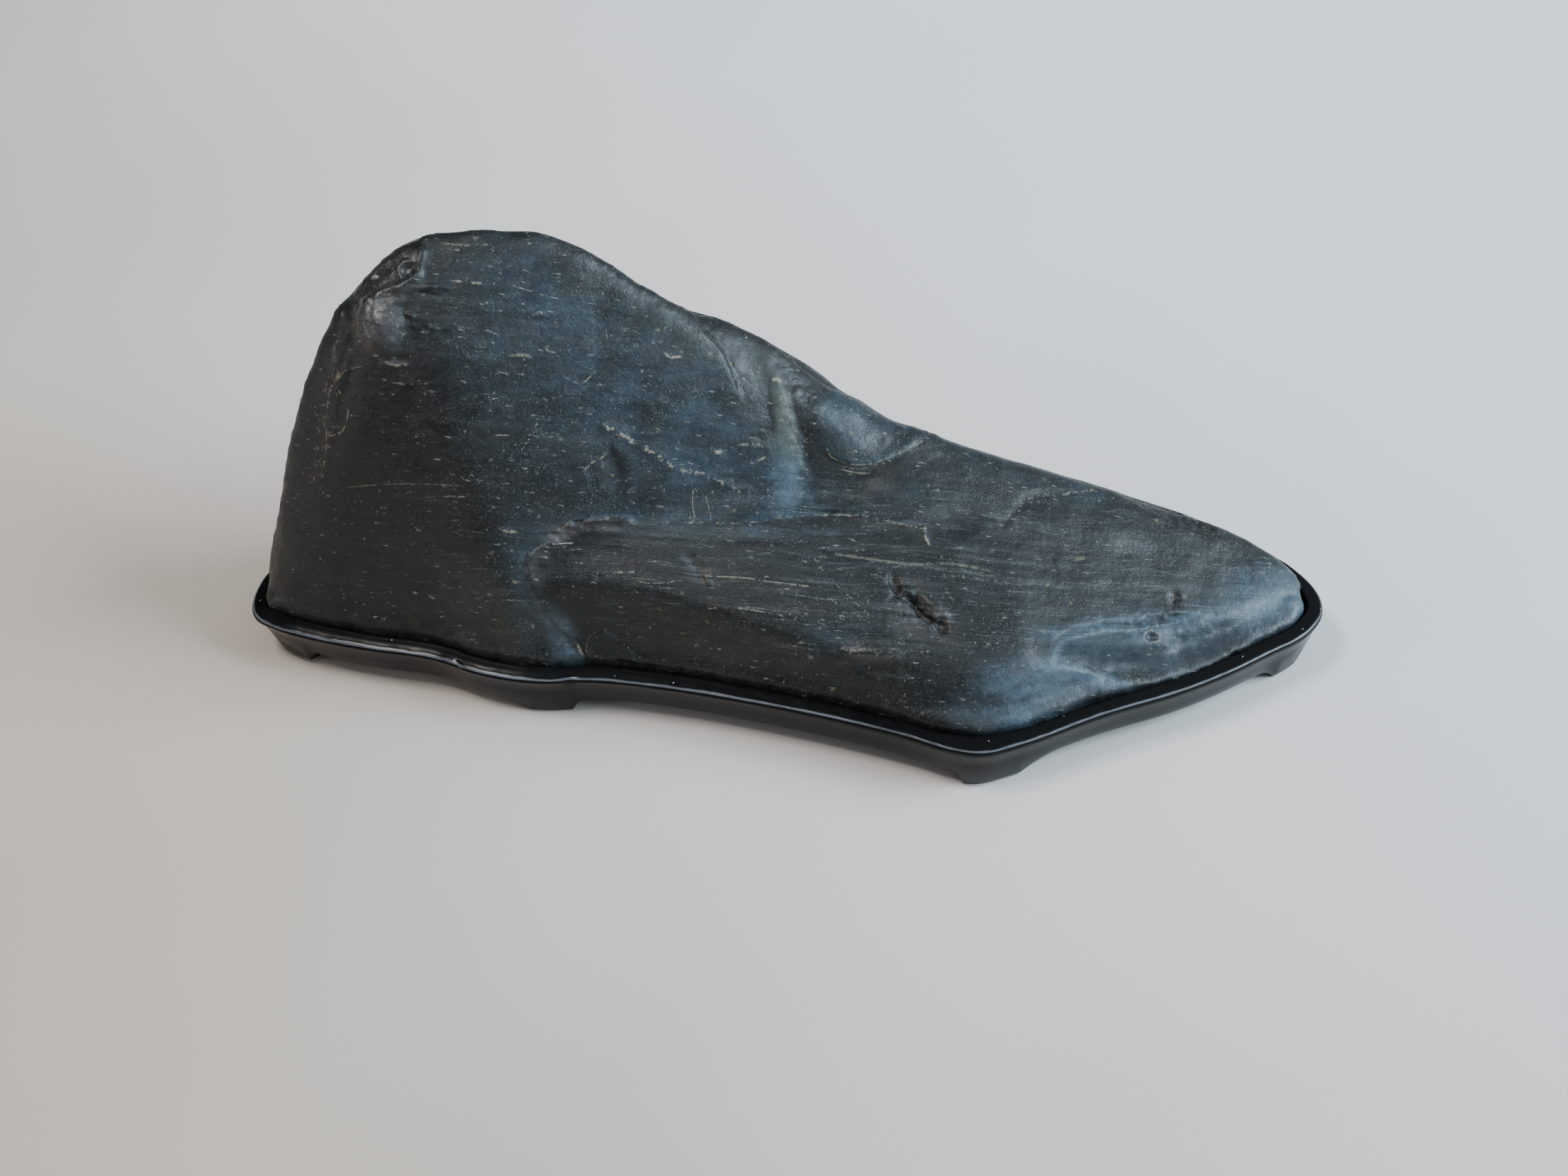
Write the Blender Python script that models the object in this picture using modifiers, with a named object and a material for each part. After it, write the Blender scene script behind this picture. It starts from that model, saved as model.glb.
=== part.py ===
"""A scholar's rock on its carved stand.

The rock is one dark water-worn stone: a tall rounded peak at its left end, a
thick ledge that runs out in front of it, and a long low tail that ends in a
blunt tip. The stand is one block of wood, carved with a shallow seat for the
stone, a flat rim, an apron that leans in towards the underside, and feet.

The X axis runs along the longest side, the front faces -Y and Z is up. The
origin lies on the table, at the middle of the stand's outline.
"""

import bmesh
import bpy
from mathutils import Vector

MM = 0.001

# Driving dimensions of the stand, in millimetres.
STAND_HEIGHT = 16.0
FOOT_HEIGHT = 4.8
LIP_WIDTH = 4.7
SEAT_DEPTH = 5.0
APRON_LEAN = 3.2
GAP = 0.3
SEAT_FLOOR = STAND_HEIGHT - SEAT_DEPTH

LACQUER_COLOUR = (0.012, 0.012, 0.013)
STONE_COLOUR = (0.035, 0.05, 0.055)

# Where the stand departs from its usual widths: (place, reach, extra inset).
WIDER_LIP = [((52.0, -58.0), 18.0, 1.6), ((-150.0, 0.0), 14.0, -0.6)]
DEEPER_LEAN = [((-150.0, 0.0), 34.0, 3.2)]

# Outer edge of the rim, seen from above, anticlockwise from the left end.
RIM_OUTLINE = [
    (-150.0, 2.0),
    (-148.3, -6.5),
    (-143.0, -10.4),
    (-131.0, -15.0),
    (-115.0, -19.2),
    (-97.0, -22.8),
    (-83.0, -28.7),
    (-67.0, -31.8),
    (-54.0, -31.4),
    (-40.0, -33.0),
    (-10.0, -39.8),
    (29.0, -52.0),
    (44.0, -58.0),
    (51.0, -58.9),
    (59.0, -56.6),
    (84.0, -45.0),
    (109.0, -35.0),
    (131.0, -22.5),
    (145.6, -12.0),
    (150.0, -2.5),
    (147.0, 9.0),
    (135.0, 22.0),
    (112.0, 36.0),
    (66.0, 51.0),
    (10.0, 56.6),
    (-60.0, 58.25),
    (-104.0, 52.0),
    (-132.0, 36.0),
    (-146.0, 16.0),
]
POINTS_BETWEEN = 20
KEPT_EVERY = 5
CLOSEST_STATIONS = 0.8

# Each foot: where its middle is, seen from above, how long its sole is, and how
# long the shoulders are that run up into the apron before and after it.
FEET = {
    "left": ((-140.0, -12.0), 9.0, 6.0, 4.0),
    "front": ((-65.0, -31.5), 12.5, 16.0, 3.0),
    "corner": ((54.5, -58.0), 18.0, 3.5, 13.0),
    "right": ((141.0, -15.5), 9.0, 4.0, 8.0),
    "right_back": ((112.0, 36.0), 12.0, 8.0, 8.0),
    "back": ((0.0, 57.5), 14.0, 12.0, 12.0),
    "left_back": ((-108.0, 50.0), 12.0, 8.0, 8.0),
}
FOOT_THICKNESS = 7.5
SHOULDER_STEPS = 4
# The line under the stone that the inner walls of the feet face.
SPINE = ((-112.0, 14.0), (112.0, 2.0))

# The stone's masses. Each is the convex hull of its corner points, in mm.
BURIED = SEAT_FLOOR - 3.0

# The tall rounded head, with a dark left flank and a broad smooth facet on its right.
PEAK = [
    (-149.0, 3.0, BURIED),
    (-142.0, -8.0, BURIED),
    (-119.0, -14.5, BURIED),
    (-97.0, -17.5, BURIED),
    (-80.0, -24.0, BURIED),
    (-64.0, -28.5, BURIED),
    (-50.0, -22.0, BURIED),
    (0.0, 0.0, BURIED),
    (20.0, 46.0, BURIED),
    (-60.0, 54.0, BURIED),
    (-101.0, 48.0, BURIED),
    (-129.0, 33.0, BURIED),
    (-144.0, 14.0, BURIED),
    (-144.5, 4.0, 31.0),
    (-140.0, 8.0, 45.0),
    (-134.0, 10.0, 65.0),
    (-129.0, 12.0, 80.0),
    (-124.0, 14.0, 91.5),
    (-118.5, 17.0, 102.0),
    (-110.5, 20.0, 110.0),
    (-102.0, 25.0, 116.0),
    (-94.0, 30.0, 118.5),
    (-78.0, 33.0, 118.0),
    (-64.0, 34.0, 116.7),
    (-57.0, 33.5, 113.3),
    (-49.0, 33.5, 108.3),
    (-41.0, 32.5, 101.5),
    (-113.0, -1.0, 74.0),
    (-107.0, 9.0, 97.0),
    (-88.0, 7.0, 97.0),
    (-84.0, -9.0, 71.0),
    (-78.0, -17.0, 52.0),
    (-73.0, -23.0, 35.0),
    (-46.0, -4.0, 50.0),
    (-14.0, 20.0, 81.0),
    (-16.0, 27.0, 87.0),
    (-4.0, 23.0, 73.5),
    (-1.0, 4.0, 48.5),
    (-62.0, 47.0, 92.0),
    (-98.0, 42.0, 95.0),
    (-120.0, 34.0, 70.0),
]

# The saddle behind the facet, where the ridge falls away to the right.
SHOULDER = [
    (-40.0, 10.0, BURIED),
    (50.0, 0.0, BURIED),
    (60.0, 45.0, BURIED),
    (-50.0, 53.0, BURIED),
    (-28.0, 33.0, 93.0),
    (-15.5, 32.0, 88.5),
    (-5.0, 31.0, 82.0),
    (8.0, 29.0, 74.0),
    (16.5, 28.0, 66.0),
    (-3.0, 24.0, 74.5),
    (1.0, 4.0, 49.0),
    (20.0, 11.0, 55.5),
    (27.0, 15.0, 56.0),
    (-18.0, 44.0, 75.0),
    (10.0, 42.0, 60.0),
]

# The thick striped ledge that stands out in front of the facet.
LEDGE = [
    (-58.0, -25.5, BURIED),
    (-41.0, -27.5, BURIED),
    (30.0, -46.0, BURIED),
    (44.5, -53.0, BURIED),
    (50.0, -54.0, BURIED),
    (57.0, -52.0, BURIED),
    (81.0, -40.5, BURIED),
    (107.0, -30.5, BURIED),
    (60.0, 30.0, BURIED),
    (-58.0, -29.5, 23.0),
    (-64.5, -24.0, 33.0),
    (-69.5, -17.0, 44.0),
    (-55.0, -10.0, 49.5),
    (-46.0, -5.0, 51.5),
    (-22.0, -1.0, 47.0),
    (3.4, 2.0, 46.5),
    (20.0, 2.0, 47.0),
    (-46.5, -15.0, 43.0),
    (-21.0, -26.0, 30.5),
    (3.0, -28.0, 32.5),
    (23.0, -35.0, 30.5),
    (42.0, -31.0, 33.5),
    (45.0, -44.0, 26.0),
    (62.0, -40.0, 29.0),
    (42.0, 0.0, 46.0),
    (62.0, -3.0, 41.5),
    (60.0, 12.0, 44.0),
]

# The long low tail, which ends in a blunt tip.
TAIL = [
    (20.0, -30.0, BURIED),
    (57.0, -48.0, BURIED),
    (81.0, -40.5, BURIED),
    (107.0, -30.5, BURIED),
    (128.0, -18.5, BURIED),
    (142.0, -9.0, BURIED),
    (146.5, -3.0, BURIED),
    (144.0, 7.0, BURIED),
    (132.0, 18.0, BURIED),
    (110.0, 31.0, BURIED),
    (64.0, 46.0, BURIED),
    (10.0, 50.0, BURIED),
    (20.0, 24.0, 60.5),
    (38.0, 24.0, 55.2),
    (31.0, 9.0, 51.5),
    (56.0, 23.0, 47.8),
    (71.5, 22.0, 42.5),
    (87.0, 20.0, 38.8),
    (105.0, 18.0, 34.0),
    (118.5, 16.0, 30.6),
    (131.5, 12.0, 27.5),
    (140.5, 8.0, 23.7),
    (146.5, 3.0, 19.0),
    (146.0, -2.0, 18.0),
    (42.0, -32.0, 32.5),
    (60.0, -47.0, 20.0),
    (62.0, -39.0, 28.5),
    (77.5, -24.0, 28.5),
    (84.0, -8.0, 33.0),
    (102.0, -14.0, 25.0),
    (144.0, -3.0, 19.0),
    (60.0, 38.0, 34.0),
]

# How the masses weather into one stone, and how coarse its solid is.
REMESH_SIZE = 2.5
WEATHERING_STEPS = 12
KEPT_FACES = 0.24

# The stone's foot, cut to drop into the seat: (inset past the lip, height).
SEAT_PLUG = [
    (GAP, SEAT_FLOOR + GAP),
    (GAP, STAND_HEIGHT + 0.5),
    (-1.5, STAND_HEIGHT + 5.0),
    (-9.0, STAND_HEIGHT + 28.0),
    (-9.0, 130.0),
]

# The stand's section down to the apron's edge: (share of the lip, share of the lean, height).
STAND_SECTION = [
    (1.0, 0.0, SEAT_FLOOR),
    (1.0, 0.0, STAND_HEIGHT - 0.3),
    (0.94, 0.0, STAND_HEIGHT),
    (0.2, 0.0, STAND_HEIGHT),
    (0.06, 0.0, STAND_HEIGHT - 0.25),
    (0.0, 0.0, STAND_HEIGHT - 0.9),
    (0.0, 0.06, STAND_HEIGHT - 1.9),
    (0.0, 0.4, 9.5),
]
EDGE_LEAN = 0.8


def clear_scene():
    for old in list(bpy.data.objects):
        bpy.data.objects.remove(old, do_unlink=True)


def new_collection(name):
    collection = bpy.data.collections.new(name)
    bpy.context.scene.collection.children.link(collection)
    return collection


def new_material(name, colour, roughness):
    material = bpy.data.materials.new(name)
    material.use_nodes = True
    shader = material.node_tree.nodes["Principled BSDF"]
    shader.inputs["Base Color"].default_value = (*colour, 1.0)
    shader.inputs["Roughness"].default_value = roughness
    shader.inputs["Metallic"].default_value = 0.0
    return material


def object_from(bm, name, collection):
    mesh = bpy.data.meshes.new(name)
    bm.to_mesh(mesh)
    bm.free()
    made = bpy.data.objects.new(name, mesh)
    collection.objects.link(made)
    return made


def as_cutter(made):
    made.hide_render = True
    made.display_type = "WIRE"
    return made


def smooth_outline(points):
    """The closed smooth curve through the points, as evenly dense vectors in mm."""
    curve = bpy.data.curves.new("outline", "CURVE")
    curve.dimensions = "2D"
    curve.resolution_u = POINTS_BETWEEN
    spline = curve.splines.new("BEZIER")
    spline.bezier_points.add(len(points) - 1)
    for knot, (x, y) in zip(spline.bezier_points, points):
        knot.co = (x, y, 0.0)
        knot.handle_left_type = "AUTO"
        knot.handle_right_type = "AUTO"
    spline.use_cyclic_u = True
    guide = bpy.data.objects.new("outline", curve)
    bpy.context.scene.collection.objects.link(guide)
    graph = bpy.context.evaluated_depsgraph_get()
    mesh = bpy.data.meshes.new_from_object(guide.evaluated_get(graph))
    ring = [vertex.co.copy() for vertex in mesh.vertices]
    bpy.data.objects.remove(guide, do_unlink=True)
    return ring


def stations_along(guide):
    """The outline's stations, each (point, inward normal, foot drop), closest together at the feet."""
    count = len(guide)
    lengths = [0.0]
    for i in range(count):
        lengths.append(lengths[-1] + (guide[(i + 1) % count] - guide[i]).length)
    around = lengths[-1]
    feet = []
    for centre, sole, before, after in FEET.values():
        nearest = min(range(count), key=lambda i: (guide[i].xy - Vector(centre)).length)
        feet.append((lengths[nearest], sole / 2, before, after))
    places = []
    for middle, half, before, after in feet:
        places += [middle - half - before * k / SHOULDER_STEPS for k in range(SHOULDER_STEPS + 1)]
        places += [middle + half + after * k / SHOULDER_STEPS for k in range(SHOULDER_STEPS + 1)]
    places = [place % around for place in places]
    for place in lengths[:-1:KEPT_EVERY]:
        if min(apart(place, other, around) for other in places) > CLOSEST_STATIONS:
            places.append(place)
    return [station_at(guide, lengths, feet, place) for place in sorted(places)]


def apart(first, second, around):
    away = abs(first - second) % around
    return min(away, around - away)


def station_at(guide, lengths, feet, place):
    count = len(guide)
    i = max(k for k in range(count) if lengths[k] <= place)
    after = guide[(i + 1) % count]
    share = (place - lengths[i]) / (lengths[i + 1] - lengths[i])
    along = (after - guide[i]).normalized()
    inward = Vector((-along.y, along.x, 0.0))
    return guide[i].lerp(after, share), inward, drop_at(feet, place, lengths[-1])


def drop_at(feet, place, around):
    """How far down a foot reaches here: 1 on its sole, 0 past its shoulders."""
    deepest = 0.0
    for middle, half, before, after in feet:
        offset = (place - middle + around / 2) % around - around / 2
        past = (abs(offset) - half) / (before if offset < 0.0 else after)
        deepest = max(deepest, (1.0 - min(max(past, 0.0), 1.0)) ** 2)
    return deepest


def bump(point, places):
    """The extra inset at a point of the outline, which fades out with distance from each place."""
    total = 0.0
    for centre, reach, extra in places:
        away = (point.xy - Vector(centre)).length / reach
        total += extra * max(0.0, 1.0 - away * away) ** 2
    return total


def lip_at(point):
    return LIP_WIDTH + bump(point, WIDER_LIP)


def lean_at(point):
    return APRON_LEAN + bump(point, DEEPER_LEAN)


def towards_spine(point):
    start, end = (Vector((*place, 0.0)) for place in SPINE)
    span = end - start
    share = min(max((point - start).dot(span) / span.length_squared, 0.0), 1.0)
    return (start + span * share - point).normalized()


def ring_of(bm, points_and_heights):
    return [bm.verts.new(Vector((x.x, x.y, height)) * MM) for x, height in points_and_heights]


def loft(bm, loops):
    """A closed solid through the loops, flat across the first one and the last one."""
    rings = [ring_of(bm, loop) for loop in loops]
    for lower, upper in zip(rings, rings[1:]):
        for i in range(len(lower)):
            j = (i + 1) % len(lower)
            bm.faces.new((lower[i], lower[j], upper[j], upper[i]))
    bm.faces.new(rings[0])
    bm.faces.new(rings[-1])
    bmesh.ops.recalc_face_normals(bm, faces=bm.faces)


def stand_loops(stations):
    loops = []
    for lip, lean, height in STAND_SECTION:
        loops.append(
            [
                (point + normal * (lip * lip_at(point) + lean * lean_at(point)), height)
                for point, normal, _ in stations
            ]
        )
    edge, sole, root = [], [], []
    for point, normal, drop in stations:
        outer = point + normal * lean_at(point) * (EDGE_LEAN + (1.0 - EDGE_LEAN) * drop)
        inner = outer + towards_spine(point) * FOOT_THICKNESS
        edge.append((outer, FOOT_HEIGHT * (1.0 - drop)))
        sole.append((inner, FOOT_HEIGHT * (1.0 - drop)))
        root.append((inner + towards_spine(point), FOOT_HEIGHT))
    return loops + [edge, sole, root]


def plug_loops(stations):
    return [
        [(point + normal * (lip_at(point) + extra), height) for point, normal, _ in stations]
        for extra, height in SEAT_PLUG
    ]


def make_mass(name, corners, collection):
    bm = bmesh.new()
    verts = [bm.verts.new(Vector(corner) * MM) for corner in corners]
    hull = bmesh.ops.convex_hull(bm, input=verts)
    inside = set(hull["geom_interior"]) | set(hull["geom_unused"])
    bmesh.ops.delete(bm, geom=[g for g in inside if isinstance(g, bmesh.types.BMVert)], context="VERTS")
    bmesh.ops.recalc_face_normals(bm, faces=bm.faces)
    return as_cutter(object_from(bm, name, collection))


def add_boolean(target, other, operation):
    modifier = target.modifiers.new(other.name, "BOOLEAN")
    modifier.operation = operation
    modifier.object = other
    modifier.solver = "EXACT"


def make_stand(stations, parts):
    bm = bmesh.new()
    loft(bm, stand_loops(stations))
    stand = object_from(bm, "stand", parts)
    stand.data.materials.append(new_material("black_lacquer", LACQUER_COLOUR, 0.3))
    return stand


def make_stone(stations, parts, cutters):
    peak = make_mass("peak", PEAK, cutters)
    stone = bpy.data.objects.new("stone", peak.data.copy())
    parts.objects.link(stone)
    for name, corners in (("shoulder", SHOULDER), ("ledge", LEDGE), ("tail", TAIL)):
        add_boolean(stone, make_mass(name, corners, cutters), "UNION")
    remesh = stone.modifiers.new("weathered_grid", "REMESH")
    remesh.mode = "VOXEL"
    remesh.voxel_size = REMESH_SIZE * MM
    smooth = stone.modifiers.new("weathered_edges", "SMOOTH")
    smooth.factor = 0.5
    smooth.iterations = WEATHERING_STEPS
    thin = stone.modifiers.new("fewer_faces", "DECIMATE")
    thin.ratio = KEPT_FACES
    bm = bmesh.new()
    loft(bm, plug_loops(stations))
    add_boolean(stone, as_cutter(object_from(bm, "seat_plug", cutters)), "INTERSECT")
    stone.data.materials.append(new_material("dark_stone", STONE_COLOUR, 0.4))
    return stone


def main():
    clear_scene()
    parts = new_collection("scholars_rock")
    cutters = new_collection("cutters")
    stations = stations_along(smooth_outline(RIM_OUTLINE))
    make_stand(stations, parts)
    make_stone(stations, parts, cutters)


main()
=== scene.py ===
"""A scholar's rock and its lacquered stand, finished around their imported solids.

The rock's solid is merged, remeshed and then worn in code: broad swells, the step
of the ledge, knobs, hollows, cracks and pits, each placed where it lies in the
front view. The stand is extruded ring by ring from the outline of its solid.
Lengths are in millimetres unless a name says otherwise, and the frame is in metres.
"""

import math

import bmesh
import bpy
import numpy as np
from bpy.props import FloatProperty, FloatVectorProperty, IntProperty, PointerProperty
from bpy.types import Operator, Panel, PropertyGroup
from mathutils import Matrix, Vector, noise


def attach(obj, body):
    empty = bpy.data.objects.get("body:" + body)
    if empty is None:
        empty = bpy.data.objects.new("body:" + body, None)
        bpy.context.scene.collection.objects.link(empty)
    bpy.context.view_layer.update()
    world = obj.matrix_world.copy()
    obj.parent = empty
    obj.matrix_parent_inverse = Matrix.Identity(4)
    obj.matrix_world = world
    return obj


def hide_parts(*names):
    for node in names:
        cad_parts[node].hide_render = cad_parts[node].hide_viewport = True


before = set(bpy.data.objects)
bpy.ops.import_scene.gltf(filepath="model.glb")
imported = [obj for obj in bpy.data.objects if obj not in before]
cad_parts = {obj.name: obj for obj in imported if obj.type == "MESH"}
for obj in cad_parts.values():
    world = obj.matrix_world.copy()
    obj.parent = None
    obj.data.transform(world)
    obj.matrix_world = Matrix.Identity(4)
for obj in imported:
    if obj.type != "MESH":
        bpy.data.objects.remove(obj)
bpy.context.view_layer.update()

bl_info = {
    "name": "Scholar's Rock",
    "version": (1, 0, 0),
    "blender": (4, 5, 0),
    "location": "3D View > Sidebar > Rock",
    "description": "Wears a scholar's rock and lacquers its stand",
    "category": "Object",
}

MM = 0.001

# The front view: where it is seen from, how far it looks down, and its frame in pixels.
VIEW_PLACE = (-0.8, -420.0, 411.25)
VIEW_PITCH = math.radians(43.0)
VIEW_WIDTH = 2212
VIEW_HEIGHT = 1659
VIEW_FOCAL = 2900.0
SENSOR_WIDTH = 36.0
NEAREST_SEEN = 10.0
PIXELS_PER_MM = 5.0

# The stand's sizes. Where one changes along the rim, it is by (middle, reach, how much more).
RIM_HEIGHT = 16.0
SEAT_FLOOR = 11.0
FOOT_HEIGHT = 4.8
FOOT_THICKNESS = 7.5
LIP_WIDTH = 4.7
WIDER_LIP = [((52.0, -58.0), 18.0, 1.6), ((-150.0, 0.0), 14.0, -0.6)]
APRON_LEAN = 3.2
DEEPER_LEAN = [((-150.0, 0.0), 34.0, 3.2)]
OUTLINE_LEVEL = 15.1
OUTLINE_SLACK = 0.01
STATIONS = 900
SPINE = ((-112.0, 14.0), (112.0, 2.0))

# Each foot: its middle, the length of its sole, and its shoulders before and after.
FEET = {
    "left": ((-140.0, -12.0), 9.0, 6.0, 4.0),
    "front": ((-65.0, -31.5), 12.5, 16.0, 3.0),
    "corner": ((54.5, -58.0), 18.0, 3.5, 13.0),
    "right": ((141.0, -15.5), 8.0, 7.0, 10.0),
    "right_back": ((112.0, 36.0), 12.0, 8.0, 8.0),
    "back": ((0.0, 57.5), 14.0, 12.0, 12.0),
    "left_back": ((-108.0, 50.0), 12.0, 8.0, 8.0),
}

# Where the rim's top is crowned and not flat: its slope at the inner edge and how it steepens, per mm.
CROWNED_LIP = [((-85.0, -28.0), 120.0, 1.5)]
CROWN_TILT = 0.16
CROWN_BEND = 0.055

# Knocks in the rim's outer edge: (place, half length, depth).
NICKS = [((-89.5, -25.2), 1.0, 0.35), ((-58.9, -31.2), 1.6, 0.5)]

# The seat's edge, from below: (how far out from the seat's wall, how far below the rim).
SEAT_WALL = [(0.0, 0.9), (0.03, 0.45)]
SEAT_EDGE = [(0.15, 0.15), (0.45, 0.02)]
LIP_START = 0.6

# The apron's top: its share of the lean, how far it is below the rim's rounded edge at the least, and
# how much of a knock in that edge it has. The edge itself also drops by a share of the knock.
APRON_TOP_LEAN = 0.05
APRON_TOP_DROP = 0.8
LEAST_DROP = 0.4
APRON_DENT = 0.6
DENT_DROP = 0.4

# The apron below that: (share of its lean, height), and then the knee over the feet.
APRON = [(0.25, 12.0), (0.45, 9.0)]
KNEE_LEAN = 0.62
KNEE_RISE = 2.2
HIGHEST_KNEE = 7.0

# The apron's lower edge, as a share of its lean, and the sole's edge: (how far in, how far up).
LOWER_APRON = 0.8
SOLE_EDGE = [(-0.1, 0.7), (0.12, 0.2), (0.5, 0.0)]
SOLE_INNER_ROUNDING = 0.4
UNDERSIDE_STEP = 0.8

# The carver's hand, as noise along the rim: (size, where in the noise, octaves).
CARVING = (14.0, 3.0, 3)
RIPPLE = (5.0, 9.0, 2)
CARVED_LIP = 0.12
RIPPLED_EDGE = 0.22
RIPPLED_TOP = 0.03

# Rings on the flat of the rim and on its rounded outer edge, and those whose paler colour is a painted
# highlight.
LIP_RINGS = 6
EDGE_RINGS = 8
FIRST_EDGE_SHARE = 0.1
HIGHLIGHT_RINGS = range(13, 15)

# The stone's foot: its gap to the rim, how uneven that is, and up to where and how far it is moved.
SEAT_GAP = 0.45
SEAT_NOISE = (6.0, 5.0, 3)
SEAT_NOISE_HEIGHT = 0.5
SEAT_CRUMBS_SIZE = 1.3
SEAT_CRUMBS_HEIGHT = 0.3
MOST_OVERLAP = 0.2
WIDEST_EXTRA_GAP = 0.5
CHIPPED_FOOT = [((150.0, -1.0), 7.0, 1.6)]
SEAT_LINE_STEP = 3
FOOT_BLEND = 20.5
MOST_FOOT_MOVE = 7.0
LEAST_FOOT_MOVE = 2.0
LEVEL_UNDERSIDE = -0.5

# How the front is drawn in behind the rim: below what height, and how it leans above the foot.
FRONT_FACING = (0.2, -0.3)
DRAWN_BELOW = 46.0
DRAWN_BLEND = 12.0
DRAW_STEPS = 3
DRAW_SHARE = 0.7
STEEPEST_DRAW = 0.5
WALL_LEAN = 0.15
FOOT_LEAN = 0.4
FLARE_HEIGHT = 6.0

# The left end's back is evened out: left of this x, behind this y and below this z.
LEFT_END = (-126.0, -8.0, 52.0)
LEFT_END_STEPS = 14

# Faces that face the front view by more than this are refined, and then smoothed.
FACING_VIEW = 0.02
REFINED_STEPS = 2

# How far the whole surface is moved out, to make up for its smoothing.
GROWN = 0.7

# Noise in the stone's surface: (how far off in the noise, size, octaves).
SWELLS = {
    "rough": (0.0, 26.0, 3),
    "fine": (70.0, 5.0, 3),
    "crumbs": (140.0, 1.7, 2),
    "hidden": (300.0, 45.0, 3),
    "uneven": (500.0, 9.0, 4),
}
FRACTAL_DROP = 0.8
FRACTAL_STEP = 2.0
FINE_HEIGHT = 0.07
LAYER_HEIGHT = 0.12
LAYER_SIZES = (30.0, 30.0, 3.0)
LAYER_NORMAL = (0.09, 0.68, 0.73)

# How much the noise moves a step's line, a knob's edge and a tone's edge.
STEP_RAGGED = (0.4, 0.5)
KNOB_RAGGED = 0.16
KNOB_CRUMBS = 0.25
TONE_RAGGED = 0.28
EDGE_TONE_RAGGED = 10.0

# Knobs whose half width in pixels is less than this have crumbled edges, except those on the left.
SMALL_KNOB = 13
SMOOTH_LEFT_OF = 700
CRUMB_HEIGHT = 0.15
CRUMB_HEIGHT_LEFT = 0.07
WARM_RAGGED = 0.3

# How wide a line's relief is, as a share of its half width and in pixels besides.
RELIEF_WIDTH = (1.3, 2.0)

# How much of its wear the surface keeps where it meets the rim.
WEAR_AT_RIM = 0.25

# Where things fade out: the surface as it turns from the view, patches as a share of their ellipse,
# steps past their ends in mm, and lines past their ends and sides in pixels or line widths.
WORN_FACING = (-0.15, 0.1)
PAINTED_FACING = (-0.05, 0.2)
PRESS_FADE = (1.5, 0.0)
KNOB_FADE = (1.4, 0.2)
PATCH_FADE = (1.6, 0.2)
STEP_END = (4.0, -6.0)
RELIEF_END = (6.0, -6.0)
TONE_START = (-2.0, 2.0)
TONE_END = (12.0, -12.0)
LINE_SIDE = (4.5, 3.0)
LINE_END = (3.0, -3.0)
FAR_OFF = 99.0

# What follows is placed on the stone's front by (across, down) in the front view's pixels.

# Edges with a step: the stone stands out on the right of the line as it is followed.
# Each is (points, the brow's height and reach, the foot's depth and reach, half the step's width), in mm.
LEDGE_NOSE = [(828, 942), (822, 925), (806, 904), (793, 887), (779, 869), (757, 846), (746, 824), (742, 804),
              (746, 788), (758, 774), (776, 764)]
LEDGE_BROW = [(776, 764), (788, 748), (806, 738), (842, 733), (882, 730), (896, 739), (962, 737), (1052, 738),
              (1101, 730), (1177, 726), (1221, 728), (1253, 735), (1302, 745)]
RIB_EDGE = [(1100, 532), (1108, 548), (1110, 566), (1115, 582), (1124, 604), (1131, 620), (1130, 648),
            (1140, 668)]
ARC = [(1166, 632), (1172, 644), (1192, 653), (1219, 656), (1245, 649), (1272, 638), (1303, 622)]
BOWL_EDGE = [(1484, 930), (1488, 912), (1506, 896), (1552, 884), (1616, 878), (1680, 868)]
STEPS = {
    "ledge_nose": (LEDGE_NOSE, 0.5, 3.0, 0.5, 3.0, 0.5),
    "ledge_brow": (LEDGE_BROW[:6], 0.8, 3.0, 0.4, 3.0, 0.5),
    "ledge_back": (LEDGE_BROW[5:], 0.4, 2.5, 0.1, 3.0, 0.5),
    "back_facet": ([(1046, 560), (1036, 530), (1020, 496), (995, 466), (960, 430), (915, 405)],
                   -0.7, 5.0, -0.3, 4.0, 0.5),
    "rib": (RIB_EDGE, 0.15, 3.0, 0.3, 3.0, 1.4),
    "arc": (ARC, -0.3, 3.0, -0.3, 3.0, 0.5),
    "lump": ([(829, 944), (829, 902), (846, 890), (869, 899), (891, 918), (904, 944)],
             0.9, 3.5, 0.4, 2.0, 0.5),
    "dark_patch": ([(832, 684), (826, 664), (838, 650), (852, 640), (860, 630), (868, 640), (878, 668)],
                   -0.6, 3.0, -0.1, 2.0, 0.5),
    "shelf": ([(880, 752), (962, 763), (1052, 767), (1132, 771), (1200, 790), (1290, 800)],
              0.2, 3.0, 0.2, 2.0, 0.5),
    "tail_layer": ([(1000, 816), (1074, 820), (1150, 832), (1240, 850)], 0.15, 2.5, 0.15, 2.5, 0.5),
    "bowl_edge": (BOWL_EDGE, -2.0, 8.0, -0.3, 3.0, 1.6),
}

# Where the surface is pressed back along the line of sight:
# (across, down, half length, half width, turn, depth in mm).
PRESSED = [(474, 430, 90, 56, -60, 2.6), (508, 372, 90, 44, -44, 3.0)]

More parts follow.
